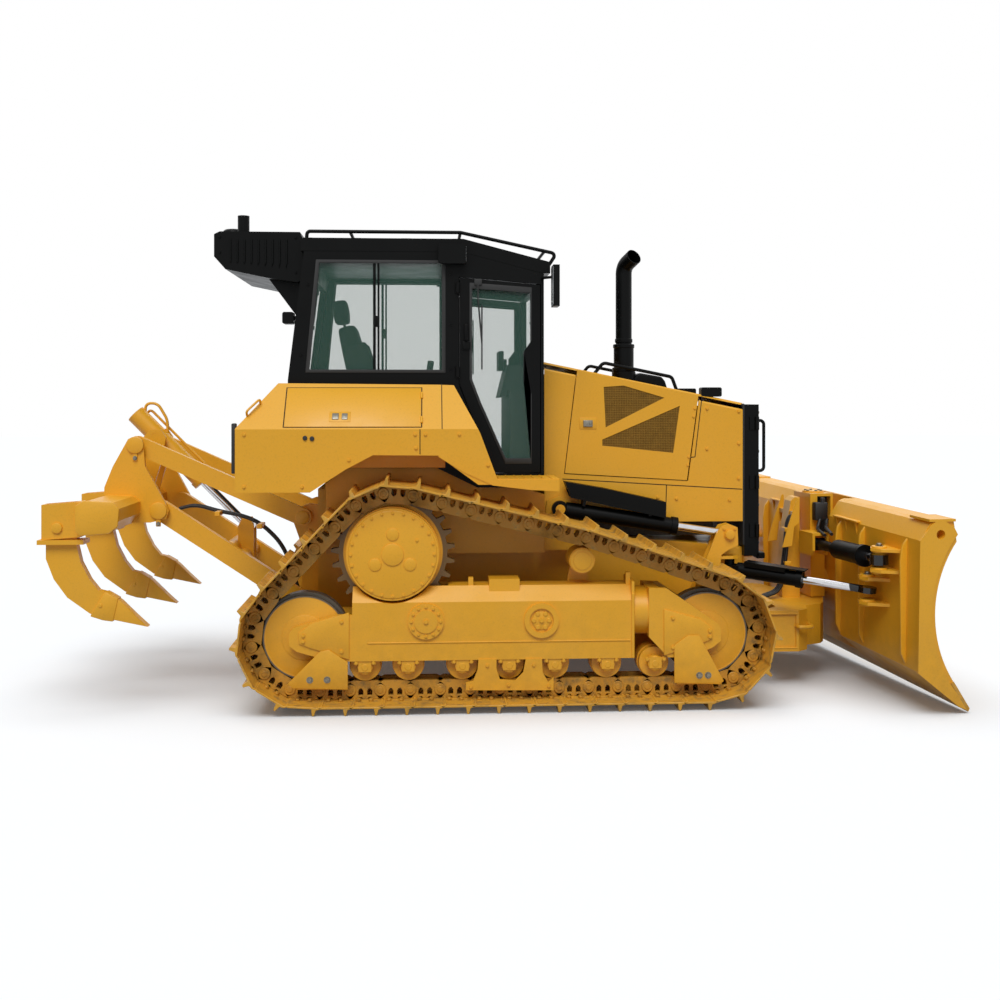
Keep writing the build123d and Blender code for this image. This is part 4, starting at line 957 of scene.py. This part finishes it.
for side, sign in SIDES:
    black_eye(f"angle_rod_{side}", YOKE_PLACE @ Vector((ANGLE_EYE[0], sign * ANGLE_EYE[1], 0.787)),
              0.12)
    black_eye(f"lift_rod_{side}", Vector((LIFT_EYE[0], sign * 0.62, LIFT_EYE[1])), 0.08)
black_eye("tilt_rod", BLADE_PLACE @ Vector((TILT_EYE[0], -TILT_EYE[1], 1.028)), 0.12)

plough = []
for count in range(16):
    y = -1.54 + count * 3.08 / 15
    for share in (-0.048, 0.048):
        plough.append((2.8 + 0.539 * share, y, 0.173 - 0.843 * share))
carried("plough_bolts", bolts(plough, 0.014, 0.006, along=(0.843, 0, 0.539)), BLADE_PLACE, zinc,
        "blade")
fins = []
for side in (-1, 1):
    for y in (0.5, 0.86, 1.45):
        fins.append(slab([(2.492, 0.345), (2.492, 1.2), (2.455, 1.15), (2.44, 1.05),
                          (2.455, 0.42)], side * y - 0.01, side * y + 0.01, 0.003, 1))
    fins.append(lump((2.468, min(side * 0.4, side * 0.78), 1.212),
                     (2.56, max(side * 0.4, side * 0.78), 1.226), 0.003, 1))
    for y in (0.44, 0.58, 0.74):
        fins.append(slab([(2.472, 1.212), (2.5, 1.212), (2.5, 1.06)], side * y - 0.008,
                         side * y + 0.008, 0.002, 1))
carried("blade_fins", fins, BLADE_PLACE, yellow_enamel, "blade")
lug_blocks = []
for (x, y), levels in ((ANGLE_EYE, ((0.689, 0.711), (0.863, 0.885))),
                       ((ANGLE_EYE[0], -ANGLE_EYE[1]), ((0.689, 0.711), (0.863, 0.885))),
                       ((TILT_EYE[0], -TILT_EYE[1]), ((0.946, 0.966), (1.09, 1.11)))):
    for low, high in levels:
        lug_blocks.append(rod((x, y, low - 0.012), (x, y, high + 0.012), 0.052, 28, 0.004))
carried("lug_bosses", lug_blocks, BLADE_PLACE, yellow_enamel, "blade")
carried("lug_pins", bolts([(2.395, -1.095, 0.897), (2.395, 1.095, 0.897), (2.385, -1.274, 1.122)],
                          0.02, 0.018, along=(0, 0, 1)), BLADE_PLACE, zinc, "blade")
# painted shade: thin black sheets on the well's inner walls stand for the shade inside the
# swivel's well
carried("swivel_well_painted_shade",
        [block((2.474, side * 0.0975 - 0.001, 1.006), (2.577, side * 0.0975 + 0.001, 1.328))
         for side in (-1, 1)], YOKE_PLACE, dark_inside, "yoke")
carried("swivel_bolts",
        bolts([(2.506 + 0.062 * math.cos(turn), 0.062 * math.sin(turn), 1.366)
               for turn in (0.4, 1.45, 2.5, 3.54, 4.6, 5.6)], 0.01, along=(0, 0, 1)), YOKE_PLACE,
        zinc, "yoke")
valve = [lump((2.42, -0.225, 1.15), (2.525, -0.158, 1.29), 0.01),
         rod((2.49, -0.2, 1.285), (2.49, -0.2, 1.325), 0.018, 16, 0.004, 1)]
valve += [tube([(2.46, -0.215, 1.16), (2.43, -0.235, 1.09), (2.4, -0.33, 1.085),
                (2.39, -0.45, 1.062)], 0.013, 0.04, 12),
          tube([(2.52, -0.215, 1.16), (2.5, -0.24, 1.11), (2.44, -0.36, 1.11),
                (2.41, -0.52, 1.078)], 0.013, 0.04, 12)]
carried("tilt_valve_and_hoses", valve, YOKE_PLACE, hose_rubber, "yoke")

shield = side_plate([(2.308, 1.31), (2.318, 1.325), (2.33, 1.315), (2.332, 1.13), (2.292, 1.1),
                     (2.275, 0.95), (2.195, 0.94), (2.238, 1.1)], -0.205, -0.195)
arm = block((2.29, -0.196, 1.18), (2.325, -0.078, 1.215))
pair("hose_shield", bevelled(joined([shield, arm]), 0.003, 1), yellow_enamel, "push_frame")
for index, (x, y) in enumerate(((2.262, -0.098), (2.258, -0.13), (2.262, -0.162))):
    dressed(f"frame_hose_{index}",
            tube([(x + 0.07, y, 1.2), (x, y, 1.16), (x - 0.02, y, 0.9), (x - 0.06, y, 0.6),
                  (x - 0.2, y, 0.552)], 0.013, 0.09, 12), hose_rubber, "push_frame")
dressed("hose_clamps", [lump((2.222, -0.186, z), (2.274, -0.08, z + 0.03), 0.004, 1)
                        for z in (0.8, 1.06)], yellow_enamel, "push_frame")
pair("tow_loop",
     tube([(2.165, -0.65, 0.42), (2.165, -0.712, 0.42), (2.275, -0.7, 0.42), (2.275, -0.56, 0.42)],
          0.014, 0.03, 12), yellow_enamel, "push_frame")
pair("frame_bolts", bolts([(1.62, -0.678, 1.14), (1.7, -0.678, 1.14)], 0.01), yellow_enamel,
     "push_frame")
pair("frame_pin_caps", [disc(*LIFT_EYE, -0.69, -0.706, 0.034, 28, 0.004),
                        disc(*PUSH_PIVOT, -0.67, -0.69, 0.08, 36, 0.006)], yellow_enamel,
     "push_frame")
pair("frame_welds_low", [lump((0.98, -0.674, z), (2.17, -0.668, z + 0.01), 0.003, 1)
                         for z in (0.256, 0.506)], yellow_enamel, "push_frame")

# ---- Ripper ------------------------------------------------------------------------------------
# A welded carriage on two pairs of links, with three forged shanks pinned in their pockets. Each
# shank ends in a cast adapter and a replaceable tip, and hoses run to the cylinder.

sleeves = []
for y in (-0.95, 0.0, 0.95):
    sleeves.append(slab([(-2.845, 0.606), (-2.742, 0.774), (-2.655, 0.724), (-2.69, 0.568),
                         (-2.76, 0.578)], y - 0.05, y + 0.05, 0.008))
    sleeves.append(slab([(-2.73, 0.588), (-2.465, 0.531), (-2.64, 0.706), (-2.69, 0.742)],
                        y - 0.043, y + 0.043, 0.006))
    for side in (-1, 1):
        sleeves.append(disc(-2.775, 0.68, y + side * 0.046, y + side * 0.056, 0.014, 16, 0.003, 1))
        sleeves.append(disc(-3.06, 1.213, y + side * 0.058, y + side * 0.078, 0.036, 28, 0.005))
dressed("ripper_tips", sleeves, yellow_enamel, "ripper_carriage")
pair("beam_end",
     slab([(-2.925, 1.365), (-2.925, 1.2), (-2.895, 1.163), (-2.7, 1.178), (-2.64, 1.225),
           (-2.63, 1.345), (-2.675, 1.392), (-2.87, 1.402)], -1.074, -1.058, 0.006), yellow_enamel,
     "ripper_carriage")
LOW_REAR, UP_REAR = (-2.502, 1.276), (-2.669, 1.755)
carriage_pins = []
for x, z in (LOW_REAR, UP_REAR):
    carriage_pins.append(disc(x, z, -0.458, -0.478, 0.062, 32, 0.006))
    carriage_pins.append(lump((x - 0.018, -0.47, z - 0.115), (x + 0.018, -0.46, z - 0.04), 0.004,
                              1))
pair("carriage_pins", carriage_pins, yellow_enamel, "ripper_carriage")
pair("carriage_bolts",
     bolts([(LOW_REAR[0], -0.47, LOW_REAR[1] - 0.095), (UP_REAR[0], -0.47, UP_REAR[1] - 0.095),
            (-2.72, -0.46, 1.3), (-2.8, -0.46, 1.3)], 0.012, 0.012), zinc, "ripper_carriage")
for body, (x, z) in (("ripper_lower", (-1.445, 0.575)), ("ripper_upper", (-1.466, 1.217))):
    pair(f"{body}_pin", disc(x, z, -0.412, -0.428, 0.05, 28, 0.005), yellow_enamel, body)
for index, y in enumerate((-0.19, -0.225)):
    dressed(f"ripper_hose_{index}",
            tube([(-2.4, y, 1.27), (-2.28, y, 1.3), (-2.1, y, 1.245), (-1.93, y, 1.215),
                  (-1.79, y, 1.15), (-1.64, y, 1.0), (-1.56, y, 0.8), (-1.52, y, 0.66)], 0.013,
                 0.09, 12), hose_rubber, "ripper_lower")
dressed("hose_clips", [lump((x - 0.02, -0.35, z - 0.018), (x + 0.02, -0.17, z + 0.016), 0.004, 1)
                       for x, z in ((-2.1, 1.24), (-1.79, 1.145))], yellow_enamel, "ripper_lower")
dressed("barrel_handle",
        tube([(-2.705, 0.0, 1.975), (-2.7, 0.0, 2.058), (-2.61, 0.0, 2.058), (-2.535, 0.0, 1.93),
              (-2.535, 0.0, 1.82)], 0.011, 0.04, 12), yellow_enamel, "ripper_barrel")
AXIS, OVER = Vector((0.7003, 0, -0.7139)), Vector((0.7139, 0, 0.7003))
line = [tuple(Vector((-2.6, 0.045, 1.8)) + AXIS * along + OVER * height)
        for along, height in ((-0.2, 0.05), (-0.2, 0.096), (0.4, 0.096), (0.43, 0.06))]
dressed("barrel_pipe", tube(line, 0.01, 0.03, 12), yellow_enamel, "ripper_barrel")

# ---- Roof fittings -----------------------------------------------------------------------------
# The cab's cooling unit hangs behind the roof in a folded steel cover, with louvres down each
# side and a domed cap on its top. The roof rail stands on four plates a side.

pair("cooling_louvres",
     [slab([(x, 3.075 + (x + 2.0) * -0.12), (x + 0.012, 3.07), (x + 0.012, 3.235), (x, 3.235)],
           -0.66, -0.646, 0.002, 1) for x in (-1.96, -1.91, -1.86, -1.81, -1.76, -1.71, -1.66,
                                              -1.61, -1.56)], black_enamel)
dressed("cooling_dome", rod((-1.985, -0.3, 3.27), (-1.985, -0.3, 3.352), 0.085, 36, 0.036, 4),
        black_enamel)
pair("roof_rail_feet", [lump((x - 0.035, -0.72, z), (x + 0.035, -0.66, z + 0.016), 0.004, 1)
                        for x, z in ((-1.4, 3.226), (-1.05, 3.226), (-0.7, 3.226),
                                     (-0.33, 3.226))], black_enamel)
pair("cooling_bolts",
     bolts([(x, -0.651, z) for x, z in ((-2.03, 3.14), (-2.03, 3.25), (-1.49, 3.25),
                                        (-1.49, 3.0))], 0.009), black_enamel)

# ---- Guards round the track frame --------------------------------------------------------------
# Plates that keep stones off the end rollers, each bolted to the track frame, and the pressed
# yellow linings of the arch that the track runs under.

GUARDS = [("front_roller_guard", [(1.128, 0.416), (1.225, 0.482), (1.3, 0.482), (1.47, 0.168),
                                  (1.44, 0.146), (1.128, 0.16)], [(1.36, 0.21), (1.3, 0.21)]),
          ("rear_roller_guard", [(-1.478, 0.19), (-1.262, 0.404), (-1.204, 0.414), (-1.078, 0.33),
                                 (-1.078, 0.146), (-1.44, 0.16)],
           [(-1.33, 0.215), (-1.215, 0.215)])]
for name, outline, places in GUARDS:
    plate = [slab(outline, -1.272, -1.2625, 0.004)]
    foot = sorted(outline[-2:])
    plate.append(lump((foot[0][0] + 0.02, -1.264, 0.148), (foot[1][0] - 0.02, -1.195, 0.162),
                      0.003, 1))
    pair(name, plate, yellow_enamel)
    pair(f"{name}_bolts", bolts([(x, -1.272, z) for x, z in places], 0.017, 0.014), zinc,
         "chassis")
linings = [("track_arch_wall", [(-1.27, 0.98), (-1.27, 1.48), (-1.15, 1.598), (-0.3, 1.598),
                                (0.3, 1.4), (0.3, 0.98)], -0.712, -0.7),
           ("track_arch_lining", [(-1.35, 1.602), (-1.35, 1.74), (-0.42, 1.74), (-0.42, 1.602)],
            -0.808, -0.8005)]
for name, outline, near, far in linings:
    pair(name, slab(outline, near, far, 0.002, 1), yellow_enamel)

# ---- Floor, light and camera -------------------------------------------------------------------
# A pale studio floor under large soft lights, seen nearly square on from the machine's right.

begin()
bpy.ops.mesh.primitive_plane_add(size=120)
floor = bpy.context.object
floor.name = "studio_floor"
floor_paint = bpy.data.materials.new("studio_floor")
floor_paint.use_nodes = True
tree = floor_paint.node_tree
bounce = tree.nodes["Principled BSDF"]
bounce.inputs["Base Color"].default_value = tone("#8C8C8C")
bounce.inputs["Roughness"].default_value = 0.9
shown = add(floor_paint, "ShaderNodeBsdfDiffuse", {"Color": (0.945, 0.975, 1.0, 1.0)})
glow = add(floor_paint, "ShaderNodeEmission", {"Color": (1.0, 1.0, 1.0, 1.0), "Strength": 1.0})
lifted = add(floor_paint, "ShaderNodeMixShader", {0: 0.05},
             {1: shown.outputs["BSDF"], 2: glow.outputs["Emission"]})


def seen_ray(material):
    """One for what the camera sees straight, in a reflection or through glass."""
    path = add(material, "ShaderNodeLightPath")
    seen = path.outputs["Is Camera Ray"]
    for kind in ("Is Glossy Ray", "Is Transmission Ray"):
        seen = calc(material, "MAXIMUM", seen, path.outputs[kind])
    return seen


chosen = add(floor_paint, "ShaderNodeMixShader", (),
             {0: seen_ray(floor_paint), 1: bounce.outputs["BSDF"], 2: lifted.outputs["Shader"]})
tree.links.new(chosen.outputs["Shader"], tree.nodes["Material Output"].inputs["Surface"])
floor.data.materials.append(floor_paint)

world = bpy.data.worlds.new("studio")
bpy.context.scene.world = world
world.use_nodes = True
ambient = world.node_tree.nodes["Background"]
ambient.inputs["Color"].default_value = tone("#F4F6FA")
ambient.inputs["Strength"].default_value = 0.3
backdrop = add(world, "ShaderNodeBackground", {"Color": (1.0, 1.0, 1.0, 1.0), "Strength": 1.0})
chooser = add(world, "ShaderNodeMixShader", (), {0: seen_ray(world),
                                                 1: ambient.outputs["Background"],
                                                 2: backdrop.outputs["Background"]})
world.node_tree.links.new(chooser.outputs["Shader"],
                          world.node_tree.nodes["World Output"].inputs["Surface"])


def broad_light(name, elevation, bearing, strength, spread, receivers):
    """A distant soft light; bearing 0 comes from the machine's right, 90 from its front."""
    lamp = bpy.data.lights.new(name, "SUN")
    lamp.energy, lamp.angle = strength, math.radians(spread)
    holder = bpy.data.objects.new(name, lamp)
    bpy.context.scene.collection.objects.link(holder)
    holder.rotation_euler = (math.radians(90 - elevation), 0, math.radians(bearing))
    holder.light_linking.receiver_collection = receivers


# the object and the floor each have their own soft light, as on a studio table lit from above
off_floor = bpy.data.collections.new("off_floor")
off_floor.objects.link(floor)
off_floor.collection_objects[0].light_linking.link_state = "EXCLUDE"
on_floor = bpy.data.collections.new("on_floor")
on_floor.objects.link(floor)
broad_light("main_softbox", 52, -8, 2.0, 35, off_floor)
broad_light("rear_softbox", 50, 170, 0.7, 50, off_floor)
broad_light("table_softbox", 84, -40, 2.45, 62, on_floor)

lens = bpy.data.cameras.new("camera")
lens.lens, lens.sensor_width, lens.shift_y = 43.0, 36.0, -0.1
camera = bpy.data.objects.new("camera", lens)
bpy.context.scene.collection.objects.link(camera)
camera.location = (-0.55, -9.3, 2.083)
camera.rotation_euler = (math.radians(90), 0, math.radians(-3.5))
bpy.context.scene.camera = camera
bpy.context.scene.view_settings.view_transform = "Standard"
